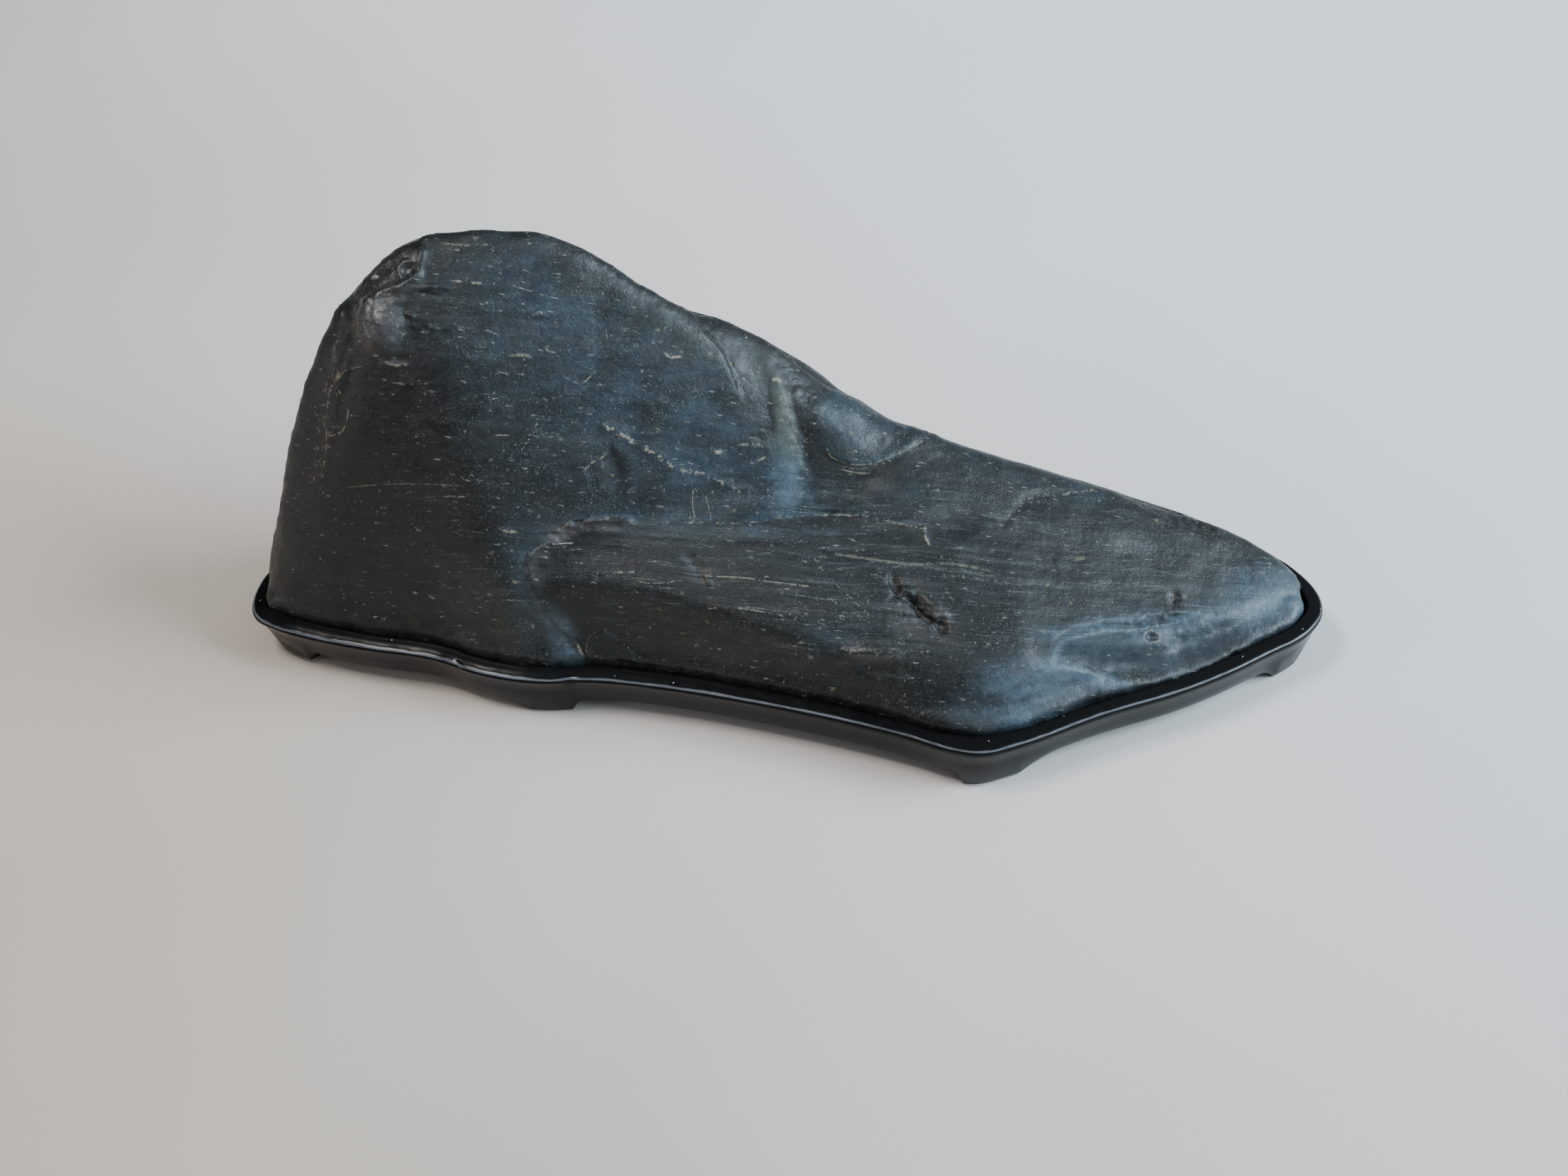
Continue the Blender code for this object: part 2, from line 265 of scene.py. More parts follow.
# Knobs and hollows: (across, down, half length, half width, turn, height in mm).
KNOBS = [
    # under the top on the left: a leaf-shaped hollow, a dimple, the ridge below them and a long boss
    (539, 386, 22, 10, -42, -0.9), (577, 382, 11, 10, 0, -0.8), (592, 372, 30, 14, -70, 0.4),
    (566, 404, 30, 10, -24, 0.5), (534, 460, 34, 46, -8, 2.7), (519, 450, 11, 30, 14, 0.5),
    (494, 470, 14, 50, 14, -0.5), (563, 424, 10, 8, 10, 0.7), (563, 422, 5, 4, 10, -0.7),
    (580, 446, 7, 6, 30, 0.6), (574, 449, 5, 4, 30, -0.5), (610, 463, 9, 6, 0, 0.5),
    (602, 464, 6, 5, 0, -0.5), (612, 404, 26, 4, 8, 0.35), (600, 414, 22, 4, 14, -0.4),
    (545, 505, 30, 8, 4, -0.4), (558, 514, 18, 5, 4, 0.35), (486, 520, 46, 9, -78, 0.6),
    (470, 600, 60, 8, -84, 0.4), (625, 560, 220, 60, 84, -0.5),
    # the rib, its hollow and the hump behind it
    (1104, 590, 58, 15, 80, 0.6), (1104, 670, 60, 30, 84, 0.7), (1160, 590, 26, 34, 60, 0.3),
    (1256, 588, 76, 38, 26, 2.0), (1152, 528, 60, 38, 34, -2.0),
    # the ledge and what lies on it
    (868, 668, 20, 24, 0, -0.6), (1342, 738, 42, 20, -4, -0.9), (1222, 704, 46, 24, 8, 0.45),
    (1303, 754, 14, 6, 70, 0.5), (980, 800, 26, 13, 48, -0.8), (968, 796, 14, 6, 40, 0.5),
    (998, 818, 12, 5, 55, 0.5), (930, 842, 12, 7, 60, -0.5), (797, 750, 22, 9, -20, -0.9),
    (848, 742, 30, 7, 4, -0.4), (756, 800, 12, 18, 0, -0.5), (712, 880, 90, 34, 66, 0.9),
    # the deep pit, its spine and its lip
    (1292, 856, 54, 22, 44, -0.7), (1262, 826, 15, 7, 74, -1.4), (1280, 836, 12, 8, 30, 0.8),
    (1300, 864, 32, 8, 46, -2.2), (1326, 884, 12, 9, 60, -1.4), (1318, 856, 26, 8, 44, 1.0),
    (1322, 872, 7, 5, 20, 0.5), (1270, 878, 40, 22, 50, -0.5), (1233, 921, 42, 10, 2, 1.0),
    (1210, 900, 60, 10, 5, -0.5), (1240, 944, 60, 9, 3, -0.5),
    # the tail
    (1655, 848, 8, 10, 0, -0.8), (1664, 838, 10, 4, 30, 0.4), (1625, 898, 9, 7, 0, -0.8),
    (1560, 958, 84, 9, 14, 0.5), (1600, 940, 60, 14, 10, -0.4), (1700, 905, 46, 20, -18, -0.9),
    (1395, 964, 40, 34, 0, 0.8), (1765, 852, 40, 14, -22, 0.2), (1545, 745, 90, 22, 14, 0.6),
    (1640, 722, 70, 10, 24, -0.9), (1660, 700, 60, 8, 24, 0.6), (1836, 822, 10, 9, 0, -0.8),
    (1820, 852, 10, 7, 0, 0.6),
]

# Lines on the stone: (points, half width in pixels, relief in mm, strength, how broken).
VEINS = {
    "tan_vein": ([(846, 596), (862, 606), (893, 622), (929, 644), (956, 662), (990, 668), (1023, 683),
                  (1044, 694)], 4.6, 0.15, 0.75, 0.6),
    "patch_arc": ([(824, 664), (835, 653), (849, 646), (856, 638)], 2.0, 0.1, 0.7, 0.2),
    "hook": ([(1040, 628), (1062, 626), (1076, 630), (1082, 641), (1071, 650), (1056, 657)],
             2.6, 0.15, 0.65, 0.5),
    "tan_spot": ([(1004, 634), (1011, 638), (1018, 637)], 4.0, 0.2, 0.9, 0.0),
    "ledge_brow": (LEDGE_BROW, 2.2, 0.0, 0.42, 0.6),
    "ledge_nose": (LEDGE_NOSE, 1.2, 0.0, 0.3, 0.8),
    "brow_tan": ([(1044, 740), (1056, 739), (1066, 737)], 3.4, 0.0, 0.9, 0.2),
    "brow_end": ([(1262, 738), (1280, 742), (1304, 746)], 2.0, 0.0, 0.7, 0.3),
    "arc_brow": (ARC, 1.5, 0.0, 0.5, 0.2),
    "arc_echo": ([(1188, 662), (1206, 667), (1228, 668)], 1.8, 0.0, 0.55, 0.3),
    "right_crack": ([(1412, 744), (1424, 728), (1438, 716), (1450, 704), (1470, 698), (1499, 697),
                     (1547, 690)], 3.2, -0.2, 0.6, 0.7),
    "long_scratch": ([(490, 688), (530, 684), (590, 683), (657, 685)], 1.3, 0.0, 0.4, 0.4),
    "short_scratch": ([(600, 702), (630, 700), (657, 701)], 1.5, 0.0, 0.55, 0.4),
    "crown_dash": ([(623, 343), (655, 346), (688, 345)], 1.8, 0.1, 0.6, 0.6),
    "brow_dash": ([(636, 396), (655, 398), (681, 400)], 2.4, 0.1, 0.6, 0.5),
    "bent_line": ([(724, 403), (759, 414), (786, 421)], 1.3, 0.0, 0.55, 0.4),
    "flake": ([(540, 511), (556, 515), (574, 515)], 3.0, 0.2, 0.55, 0.2),
    "dull_flake": ([(554, 540), (580, 542), (607, 540)], 2.2, 0.1, 0.3, 0.4),
    "upright_scratch": ([(978, 690), (977, 712), (981, 734)], 1.2, 0.0, 0.5, 0.3),
    "second_scratch": ([(995, 698), (1003, 729)], 1.1, 0.0, 0.45, 0.3),
    "lump_vein": ([(815, 908), (822, 925), (829, 934)], 3.0, 0.0, 0.6, 0.2),
    "lump_edge": ([(829, 934), (829, 902), (846, 890), (869, 899), (891, 918)], 1.2, 0.0, 0.35, 0.5),
    # A painted highlight below the ledge's nose.
    "glint": ([(776, 768), (790, 767), (808, 766)], 1.5, 0.1, 1.0, 0.0),
    "cream_dash": ([(702, 744), (712, 750), (727, 750)], 3.2, 0.2, 0.7, 0.2),
    "pale_fleck": ([(684, 790), (692, 782), (697, 772)], 3.6, 0.1, 0.45, 0.3),
    "pale_fleck_low": ([(714, 819), (722, 820), (732, 822)], 4.0, 0.1, 0.4, 0.3),
    "ledge_dash": ([(846, 806), (870, 807), (898, 807)], 2.0, 0.1, 0.5, 0.5),
    "ledge_line": ([(900, 820), (922, 823), (962, 819)], 1.6, 0.1, 0.6, 0.25),
    "ledge_line_right": ([(1000, 813), (1050, 815), (1074, 819), (1141, 827)], 1.5, 0.1, 0.65, 0.2),
    "lower_line": ([(994, 859), (1022, 857), (1052, 859), (1105, 869)], 1.8, 0.1, 0.55, 0.25),
    "margin_scuff": ([(483, 440), (479, 471), (471, 495), (477, 525), (464, 556), (460, 595), (460, 633),
                      (452, 690)], 2.4, 0.1, 0.42, 0.4),
    "outer_scuff": ([(470, 500), (458, 560), (448, 620), (442, 680)], 3.0, 0.0, 0.35, 0.9),
    "margin_hook": ([(510, 517), (492, 521), (479, 531), (476, 542), (482, 562), (491, 580), (483, 608),
                     (465, 615)], 1.8, 0.1, 0.45, 0.25),
    "rib_crest": ([(1098, 540), (1104, 570), (1116, 612), (1124, 636)], 5.0, 0.0, 0.2, 0.4),
    "rib_top": ([(1090, 536), (1096, 535), (1102, 538)], 4.0, 0.1, 0.9, 0.0),
    "pale_band": ([(1180, 782), (1245, 791), (1290, 796), (1340, 795), (1400, 806)], 3.0, 0.1, 0.3, 0.05),
    "pale_band_low": ([(1330, 812), (1372, 816), (1440, 826)], 3.6, 0.0, 0.3, 0.5),
    "tick": ([(1306, 744), (1305, 756), (1311, 768)], 2.2, 0.1, 0.7, 0.2),
    "facet_dash_a": ([(719, 502), (735, 501), (749, 504)], 3.0, 0.15, 0.4, 0.2),
    "facet_dash_b": ([(690, 528), (704, 525), (720, 528), (746, 528)], 1.8, 0.1, 0.45, 0.5),
    "facet_dash_c": ([(699, 614), (721, 614)], 1.6, 0.0, 0.5, 0.2),
    "yellow_dash": ([(938, 498), (946, 504), (960, 503)], 2.6, 0.1, 0.8, 0.1),
    "smile": ([(768, 490), (775, 496), (784, 497)], 2.0, 0.1, 0.6, 0.2),
    "bird": ([(796, 532), (819, 541), (834, 530)], 1.6, 0.1, 0.45, 0.3),
    "chipped": ([(853, 450), (856, 474), (858, 484)], 1.2, 0.0, 0.45, 0.5),
    # Painted glints on the glossy bump.
    "pink_bump": ([(1198, 921), (1216, 916), (1240, 921), (1268, 922)], 6.0, 0.1, 0.3, 0.6),
    "ochre": ([(1514, 786), (1522, 789), (1532, 787)], 5.0, 0.0, 0.35, 0.2),
    "tan_spot_low": ([(1466, 892), (1474, 892)], 4.0, 0.0, 0.4, 0.2),
    "ring": ([(1616, 893), (1625, 889), (1635, 894), (1635, 903), (1625, 906), (1616, 902)],
             2.2, 0.15, 0.7, 0.2),
    "fine_vein": ([(1142, 780), (1152, 792), (1166, 812), (1192, 836), (1226, 868)], 1.4, 0.0, 0.4, 0.5),
}

# Ridges without a colour of their own: (points, half width in pixels, relief in mm).
RIDGES = {
    "crest": ([(592, 384), (584, 394), (566, 405), (540, 415), (516, 430)], 3.4, 0.75),
    "crest_top": ([(596, 350), (595, 366), (591, 382)], 2.4, 0.35),
    "crest_root": ([(560, 412), (590, 408), (614, 406)], 1.6, 0.5),
    "leaf": ([(523, 403), (527, 389), (540, 376), (554, 368), (557, 377), (549, 391), (536, 401),
              (523, 403)], 1.4, 0.45),
    "ring_knob": ([(568, 392), (565, 381), (571, 372), (582, 371)], 1.4, 0.45),
}

# Cracks and dark hollows, in the veins' form; the dark in the deep pit's throat and head is painted shade.
CRACKS_AND_PIT_SHADE = {
    "facet_crack": ([(985, 455), (999, 474), (1018, 494), (1029, 517), (1040, 548)], 1.8, -0.3, 0.8, 0.2),
    "seat_crack": ([(830, 938), (824, 920), (812, 900)], 2.0, -0.3, 0.7, 0.0),
    "pit_throat": ([(1284, 850), (1298, 862), (1316, 876), (1330, 880)], 5.0, 0.0, 0.85, 0.0),
    "pit_head": ([(1252, 812), (1256, 826), (1264, 838)], 3.0, 0.0, 0.7, 0.0),
    "bent_crack": ([(931, 824), (936, 842), (947, 849)], 1.6, -0.1, 0.5, 0.0),
    "bowl_crack": ([(1494, 918), (1521, 936), (1574, 948)], 2.4, -0.1, 0.3, 0.4),
    "pock": ([(1654, 842), (1656, 854)], 4.0, 0.0, 0.6, 0.0),
}

# Tones: (across, down, half length, half width, turn, amount).
TONES = {
    # The facets' blue-grey colour, and on the lit facets, the bowl and the tip also the window's painted
    # reflection.
    "blue": [
        (860, 550, 250, 120, 34, 0.68), (730, 420, 110, 70, 20, 0.4), (1090, 690, 70, 40, 10, 0.8),
        (1000, 650, 110, 50, 30, 0.4), (1200, 592, 66, 40, 15, 0.5), (1420, 655, 190, 30, 20, 0.4),
        (790, 910, 20, 40, -38, 0.6), (1425, 975, 90, 56, 0, 0.6), (1590, 915, 150, 52, -10, 1.0),
        (1770, 865, 90, 56, -16, 1.0), (1200, 900, 60, 26, 5, 0.6), (1290, 700, 110, 20, 8, 0.35),
        (1260, 800, 90, 20, 10, 0.4),
    ],
    "olive": [
        (560, 850, 190, 110, 12, 0.7), (470, 620, 40, 160, 0, 0.5), (1500, 800, 110, 30, 12, 0.6),
        (1390, 740, 120, 26, 12, 0.4), (900, 900, 160, 40, 8, 0.4), (1000, 480, 70, 40, 30, 0.35),
    ],
    # Mostly painted highlights: on the tip, the low corner, the bowl's ridge and crest, the lit side of the
    # hump and the strip beside the ledge's nose, with some paler haze.
    "pale": [
        (1795, 845, 74, 48, -18, 0.9), (1440, 985, 76, 46, -8, 0.8), (1550, 884, 80, 11, -7, 1.0),
        (1545, 958, 80, 8, 14, 0.8), (1664, 884, 60, 16, -10, 0.8), (985, 560, 80, 60, 40, 0.22),
        (1180, 580, 24, 26, 50, 0.35), (1108, 668, 46, 28, 84, 0.8), (1060, 750, 180, 9, 1, 0.35),
        (792, 896, 20, 60, -34, 0.5),
    ],
    # Brown stains in the pit, on the chip and on the spots; on the boss and the leaf at the upper left this
    # paler colour is partly a painted highlight.
    "warm": [
        (1300, 860, 60, 27, 46, 1.0), (1275, 860, 26, 40, 10, 0.5), (984, 806, 30, 15, 46, 0.9),
        (797, 750, 28, 12, -20, 1.0), (860, 742, 46, 9, 6, 0.7), (532, 455, 32, 44, 0, 0.8),
        (556, 384, 34, 22, -40, 0.5), (556, 418, 44, 8, -20, 0.6), (1233, 921, 48, 12, 3, 0.9),
        (758, 802, 16, 24, 0, 0.7), (1655, 848, 9, 13, 0, 1.0), (1625, 898, 10, 8, 0, 0.9),
    ],
    "ash": [
        (1103, 584, 52, 11, 80, 1.0), (1112, 628, 30, 19, 84, 0.9),
    ],
    # The stone's darker colour, and also painted shade on the left mass, its margin, the back facet, the
    # ledge and in hollows.
    "dark": [
        (500, 740, 122, 280, 0, 0.85), (540, 690, 160, 270, 8, 0.35), (468, 500, 22, 120, 12, 0.9),
        (584, 452, 26, 46, -4, 1.0), (606, 386, 16, 40, 0, 0.9), (900, 788, 90, 16, 0, 0.8),
        (1000, 842, 110, 18, 4, 0.55), (1150, 806, 80, 13, 6, 0.5), (1330, 790, 120, 14, 8, 0.45),
        (1420, 860, 120, 22, 12, 0.6), (1420, 800, 120, 14, 10, 0.4), (1056, 474, 130, 36, 40, 1.0),
        (868, 666, 22, 24, 0, 0.9), (1336, 738, 62, 32, -4, 1.0), (890, 870, 130, 50, 6, 0.5),
        (590, 480, 40, 120, 0, 0.6), (960, 780, 130, 12, 3, 0.5), (1190, 960, 120, 22, 6, 0.4),
    ],
    "streaks": [
        (1150, 830, 460, 90, 5, 0.9), (1450, 760, 330, 70, 12, 0.75),
    ],
    # Rougher places, also painted darker as painted shade: inside the bowl, its second hollow and a smudge on
    # the ledge.
    "dull_shaded": [
        (1565, 922, 76, 18, 6, 1.0), (1700, 916, 40, 14, -18, 0.7), (1252, 705, 34, 12, 4, 0.8),
    ],
    "gloss": [
        (520, 450, 28, 54, 0, 0.9), (570, 378, 46, 30, -30, 0.9), (1233, 921, 48, 12, 3, 0.9),
        (1300, 860, 44, 20, 46, 0.5),
    ],
}

# Tones along one side of a line: (tone, line, side, reach in pixels, amount), where side 1 is the right of
# the line as it is followed, and -1 its left. These paint light and shade: blue and pale are painted
# highlights on the lit side of the ledge's nose and brow, of the arc and inside the bowl's rim, and dark is
# painted shade below the ledge and the arc, beside the rib and outside the bowl.
EDGE_TONES = [
    ("blue", LEDGE_NOSE, -1, 36, 1.0),
    ("pale", LEDGE_NOSE, -1, 12, 0.3),
    ("dark", LEDGE_NOSE, 1, 70, 1.0),
    ("blue", LEDGE_BROW, -1, 18, 0.5),
    ("pale", LEDGE_BROW, -1, 7, 0.35),
    ("dark", LEDGE_BROW, 1, 26, 0.8),
    ("blue", ARC, -1, 14, 0.7),
    ("pale", ARC, -1, 8, 0.4),
    ("dark", ARC, 1, 20, 0.6),
    ("dark", RIB_EDGE[:6], -1, 9, 1.0),
    ("pale", BOWL_EDGE, 1, 12, 1.0),
    ("dark", BOWL_EDGE, -1, 30, 0.5),
]

# What the parts out of the front view's sight have of each tone, and how much a noise changes it.
HIDDEN_TONES = {"blue": 0.3, "olive": 0.35, "pale": 0.0, "warm": -0.1, "ash": -0.1, "dark": 0.2,
                "streaks": 0.45, "dull_shaded": 0.0, "gloss": 0.0}
HIDDEN_SWING = 0.5

# Places whose mesh is refined once more: (across, down, half length, half width, turn).
FINE_PLACES = [(556, 430, 90, 110, 0), (1300, 860, 60, 44, 46), (800, 760, 60, 40, 0), (984, 806, 40, 30, 40),
               (1112, 610, 40, 100, 0), (1233, 921, 60, 20, 0), (1640, 875, 40, 40, 0)]

# The finish's noises: (sizes in mm, detail, roughness, and a turn where it isn't upright).
LAYER_TURN = (math.radians(-43.0), math.radians(5.0), 0.0)
CUT_TURN = (LAYER_TURN[0], math.radians(32.0), math.radians(20.0))
UPRIGHT = (0.0, 0.0, 0.0)
PATTERNS = {
    "clouds": ((22.0, 22.0, 14.0), 5.0, 0.6, LAYER_TURN),
    "patchy": ((11.0, 11.0, 6.0), 7.0, 0.72),
    "mottle": ((5.0, 5.0, 3.0), 5.0, 0.75),
    "grain": ((0.6, 0.6, 0.6), 2.0, 0.75),
    "peel": ((1.7, 1.7, 1.5), 3.0, 0.6),
    "streak": ((30.0, 30.0, 1.5), 8.0, 0.7, LAYER_TURN),
    "thread": ((13.0, 13.0, 0.4), 2.0, 0.6, LAYER_TURN),
    "wisp": ((26.0, 26.0, 3.4), 7.0, 0.74, LAYER_TURN),
    "crowd": ((15.0, 15.0, 9.0), 3.0, 0.6),
    "clusters": ((3.2, 3.2, 2.4), 3.0, 0.7),
    "salt": ((0.42, 0.42, 0.42), 1.0, 0.5),
    "ragged": ((1.1, 1.1, 1.1), 3.0, 0.7),
    "gaps": ((2.4, 2.4, 2.4), 3.0, 0.7),
    "brushed": ((9.0, 9.0, 2.5), 3.0, 0.6),
    "haze": ((16.0, 16.0, 16.0), 4.0, 0.65),
    "paper": ((3.0, 3.0, 3.0), 4.0, 0.6),
    "aged": ((180.0, 180.0, 180.0), 2.0, 0.5),
}

# How far the noise moves a place: (size, most), in mm.
WARPED = (60.0, 9.0)
JAGGED = (0.8, 1.1)

# Scattered marks: (cell's sizes in mm, its turn, where a mark's edge starts and ends as a share of
# its cell, and the random numbers from which cells start to have a mark and all have one).
SCATTERED = {
    "bit": ((2.8, 2.8, 2.0), UPRIGHT, (0.06, 0.2), (0.7, 0.8)),
    "dash": ((6.5, 6.5, 1.0), LAYER_TURN, (0.06, 0.3), (0.84, 0.9)),
    "cut": ((4.0, 4.0, 0.8), CUT_TURN, (0.08, 0.28), (0.86, 0.9)),
    "spot": ((1.5, 1.5, 1.5), UPRIGHT, (0.1, 0.26), (0.8, 0.9)),
    "fleck": ((6.5, 6.5, 4.5), UPRIGHT, (0.03, 0.14), (0.7, 0.72)),
    "dust": ((2.3, 2.3, 2.3), UPRIGHT, (0.05, 0.1), (0.62, 0.64)),
}

# How the finish's values are spread: (where each starts and ends, and the least and most it then
# gives, which are 0 and 1 when they aren't given).
SPREADS = {
    "clouds": (0.35, 0.65),
    "blue": (0.36, 0.6, 0.4, 1.0),
    "wisp": (0.52, 0.68),
    "wisp_grain": (0.3, 0.55, 0.5, 1.0),
    "band": (0.52, 0.7),
    "thread": (0.6, 0.72),
    "thread_grain": (0.4, 0.6),
    "dark_band": (0.4, 0.55),
    "crowd": (0.38, 0.62, 0.3, 1.0),
    "grit": (0.56, 0.78),
    "speck": (0.62, 0.72),
    "speck_cluster": (0.46, 0.66),
    "spot_cluster": (0.4, 0.6),
    "bit_grain": (0.3, 0.6),
    "dash_grain": (0.35, 0.6),
    "fleck_mottle": (0.4, 0.6),
    "line_edge": (0.2, 1.1),
    "line_gaps": (0.36, 0.5),
    "rough_mottle": (0.35, 0.65),
    "rough_grain": (0.4, 0.7),
    "streaks": (0.0, 1.0, 0.12, 1.0),
    "dust_upward": (0.8, 0.95),
    "haze": (0.4, 0.75, 0.0, 0.6),
    # How the haze breaks up the painted highlight on the rim's rounded edge.
    "painted_edge_highlight": (0.3, 0.6, 0.45, 1.0),
    "lacquer_rough": (0.3, 0.7, 0.15, 0.22),
    "paler_floor": (-0.34, 0.4),
    "aged_floor": (0.3, 0.7, -0.03, 0.03),
    "far_floor": (0.7, 1.5),
    "room": (0.0, 0.95),
}

# How each tone is painted over those before it: (tone, the noise that breaks it up, where that noise
# starts and ends, the tone's share there, colour).
PAINTS = [
    # Blue also paints the window's reflection, pale also paints highlights and dark also paints shade.
    ("blue", "patchy", (0.48, 0.66, 0.0, 0.6), (0.027, 0.045, 0.06, 1.0)),
    ("olive", "patchy", (0.38, 0.66, 0.15, 0.9), (0.019, 0.0195, 0.0145, 1.0)),
    ("dark", "mottle", (0.3, 0.65, 1.0, 0.6), (0.005, 0.0055, 0.0052, 1.0)),
    ("ash", "mottle", (0.3, 0.6, 0.5, 1.0), (0.07, 0.085, 0.076, 1.0)),
    ("pale", "patchy", (0.34, 0.64, 0.25, 0.95), (0.07, 0.106, 0.135, 1.0)),
    ("warm", "mottle", (0.3, 0.65, 0.35, 1.0), (0.058, 0.052, 0.052, 1.0)),
]
# Rougher places are painted darker in this colour, as painted shade.
DULL_SHADE_COLOUR = (0.011, 0.021, 0.03, 1.0)
DULL_SHADE_SHARE = 0.7
WISP_COLOUR = (0.05, 0.059, 0.058, 1.0)
BAND_COLOUR = (0.026, 0.032, 0.033, 1.0)
THREAD_COLOUR = (0.15, 0.16, 0.145, 1.0)
DARK_BAND_COLOUR = (0.006, 0.0075, 0.0075, 1.0)
FLECK_COLOUR = (0.15, 0.135, 0.08, 1.0)
# Cracks, and the painted shade in the deep pit's throat and head.
CRACK_AND_PIT_SHADE_COLOUR = (0.005, 0.0045, 0.004, 1.0)
HAZE_COLOUR = (0.0055, 0.0055, 0.006, 1.0)
# The rim's rounded edge gets this paler colour as a painted highlight.
EDGE_HIGHLIGHT_COLOUR = (0.115, 0.122, 0.135, 1.0)
DUST_COLOUR = (0.55, 0.55, 0.52, 1.0)
BAND_SHARE = 0.7
GRIT_SHARE = 0.36
FLECK_SHARE = 0.7
DARK_CLEARS = 0.6

# The lines' edges: how ragged they are, how much more so where broken, and how a noise opens gaps in them.
LINE_RAGGED = 1.5
BROKEN_RAGGED = 4.0
RAGGED_MIDDLE = 0.45
GAP_SHARE = 0.17

# How strongly each kind of mark shows, and what each thing adds to the roughness and to the relief.
MARK_SHARES = {"speck": 0.75, "spot": 0.55, "bit": 0.45, "dash": 0.7, "cut": 0.7}
ROUGHNESS = 0.33
ROUGHNESS_SHARES = {"mottle": 0.16, "vein": 0.25, "marks": 0.2, "grain": 0.1, "dark": 0.08, "dull_shaded": 0.4}
GLOSS_SHARE = 0.16
RELIEF_SHARES = {"peel": 0.6, "grain": 0.22, "streak": 0.6, "marks": 0.25, "crack_and_pit_shade": -1.0, "vein": 0.15}
STONE_SPECULAR = 0.36
LACQUER_SPECULAR = 0.16
PAPER_SPECULAR = 0.5
PAPER_ROUGHNESS = 0.75
DUST_ROUGHNESS = 0.4

# The finest relief: (strength, depth in mm).
STONE_BUMP = (0.6, 0.45)
LACQUER_BUMP = (0.12, 0.3)
PAPER_BUMP = (0.12, 0.4)

# The floor: its half size in metres, which way it gets paler, and the near left's colour; it is painted paler
# towards the window and darker near the left, as painted light and shade.
FLOOR_REACH = 30.0
PALER_WAY = (0.85, 0.5, 0.0)
SHADED_NEAR_FLOOR = (0.42, 0.325, 0.245, 1.0)

# The lights: (place in metres, sides in metres, colour), what they are aimed at, and the way to the window.
FILL_LIGHT = ((-0.46, -0.14, 1.0), (0.36, 0.18), (1.0, 0.97, 0.94))
SIDE_LIGHT = ((-0.95, -0.36, 0.34), (0.3, 0.3), (1.0, 0.95, 0.97))
LIT_PLACE = (0.0, 0.0, 0.04)
WINDOW_SIDE = (0.86, -0.07, 0.5)
WINDOW_COLOUR = (0.68, 0.86, 1.0)

# The room away from the window and towards it, and the backdrop that the camera sees.
DIM_ROOM = (0.062, 0.055, 0.05, 1.0)
BRIGHT_ROOM = (0.68, 0.83, 1.0, 1.0)
BACKDROP = (0.98, 1.0, 1.02, 1.0)


def seen(points):
    """Where points in mm lie in the front view, in pixels."""
    ahead = np.array((0.0, math.cos(VIEW_PITCH), -math.sin(VIEW_PITCH)))
    up = np.array((0.0, math.sin(VIEW_PITCH), math.cos(VIEW_PITCH)))
    away = points - np.array(VIEW_PLACE)
    depth = away @ ahead
    across = VIEW_WIDTH / 2 + VIEW_FOCAL * away[:, 0] / depth
    down = VIEW_HEIGHT / 2 - VIEW_FOCAL * (away @ up) / depth
    return np.stack([across, down], axis=1)


def sight_lines(points):
    """The unit direction from each point to the front view."""
    towards = np.array(VIEW_PLACE) - points
    return towards / np.linalg.norm(towards, axis=1)[:, None]


def dots(first, second):
    return np.einsum("ij,ij->i", first, second)


def smoothstep(low, high, value):
    share = np.clip((value - low) / (high - low), 0.0, 1.0)
    return share * share * (3.0 - 2.0 * share)


def between(a, b, c, d, t):
    """The point at share t from b to c, on the smooth line through all four."""
    return 0.5 * (2 * b + (c - a) * t + (2 * a - 5 * b + 4 * c - d) * t**2 + (3 * b - a - 3 * c + d) * t**3)


def curved(points, steps=6):
    """The points of a smooth line through the given ones."""
    ends = [points[0], *points, points[-1]]
    line = []
    for i in range(len(points) - 1):
        near = [np.array(p, float) for p in ends[i : i + 4]]
        line += [between(*near, t) for t in np.linspace(0.0, 1.0, steps, endpoint=False)]
    line.append(np.array(points[-1], float))
    return np.array(line)


def beside(places, points):
    """Each place's distance to the line, positive on its right as seen, and how far it is past its ends."""
    line = curved(points)
    best = np.full(len(places), np.inf)
    signed = np.zeros(len(places))
    past = np.zeros(len(places))
    lengths = np.linalg.norm(np.diff(line, axis=0), axis=1)
    before = np.concatenate([[0.0], np.cumsum(lengths)])
    for i, length in enumerate(lengths):
        along = (line[i + 1] - line[i]) / length
        rel = places - line[i]
        run = rel @ along
        clamped = np.clip(run, 0.0, length)
        gap = np.linalg.norm(rel - clamped[:, None] * along, axis=1)
        side = along[0] * rel[:, 1] - along[1] * rel[:, 0]
        here = before[i] + (run if i in (0, len(lengths) - 1) else clamped)
        nearer = gap < best
        best[nearer] = gap[nearer]
        signed[nearer] = (np.sign(side) * gap)[nearer]
        past[nearer] = np.maximum(-here, here - before[-1])[nearer]
    return signed, past


def in_ellipse(places, across, down, half_length, half_width, turn):
    """The distance from an ellipse's middle, where 1 is its edge."""
    angle = math.radians(turn)
    rel = places - np.array((across, down))
    along = rel @ np.array((math.cos(angle), math.sin(angle)))
    aside = rel @ np.array((-math.sin(angle), math.cos(angle)))
    return np.hypot(along / half_length, aside / half_width)


def scatter_noise(points, size, octaves):
    """Fractal noise at each point in mm, about -1 to 1, whose largest swells are one size across."""
    return np.array([noise.fractal(Vector(p) / size, FRACTAL_DROP, FRACTAL_STEP, octaves) for p in points])


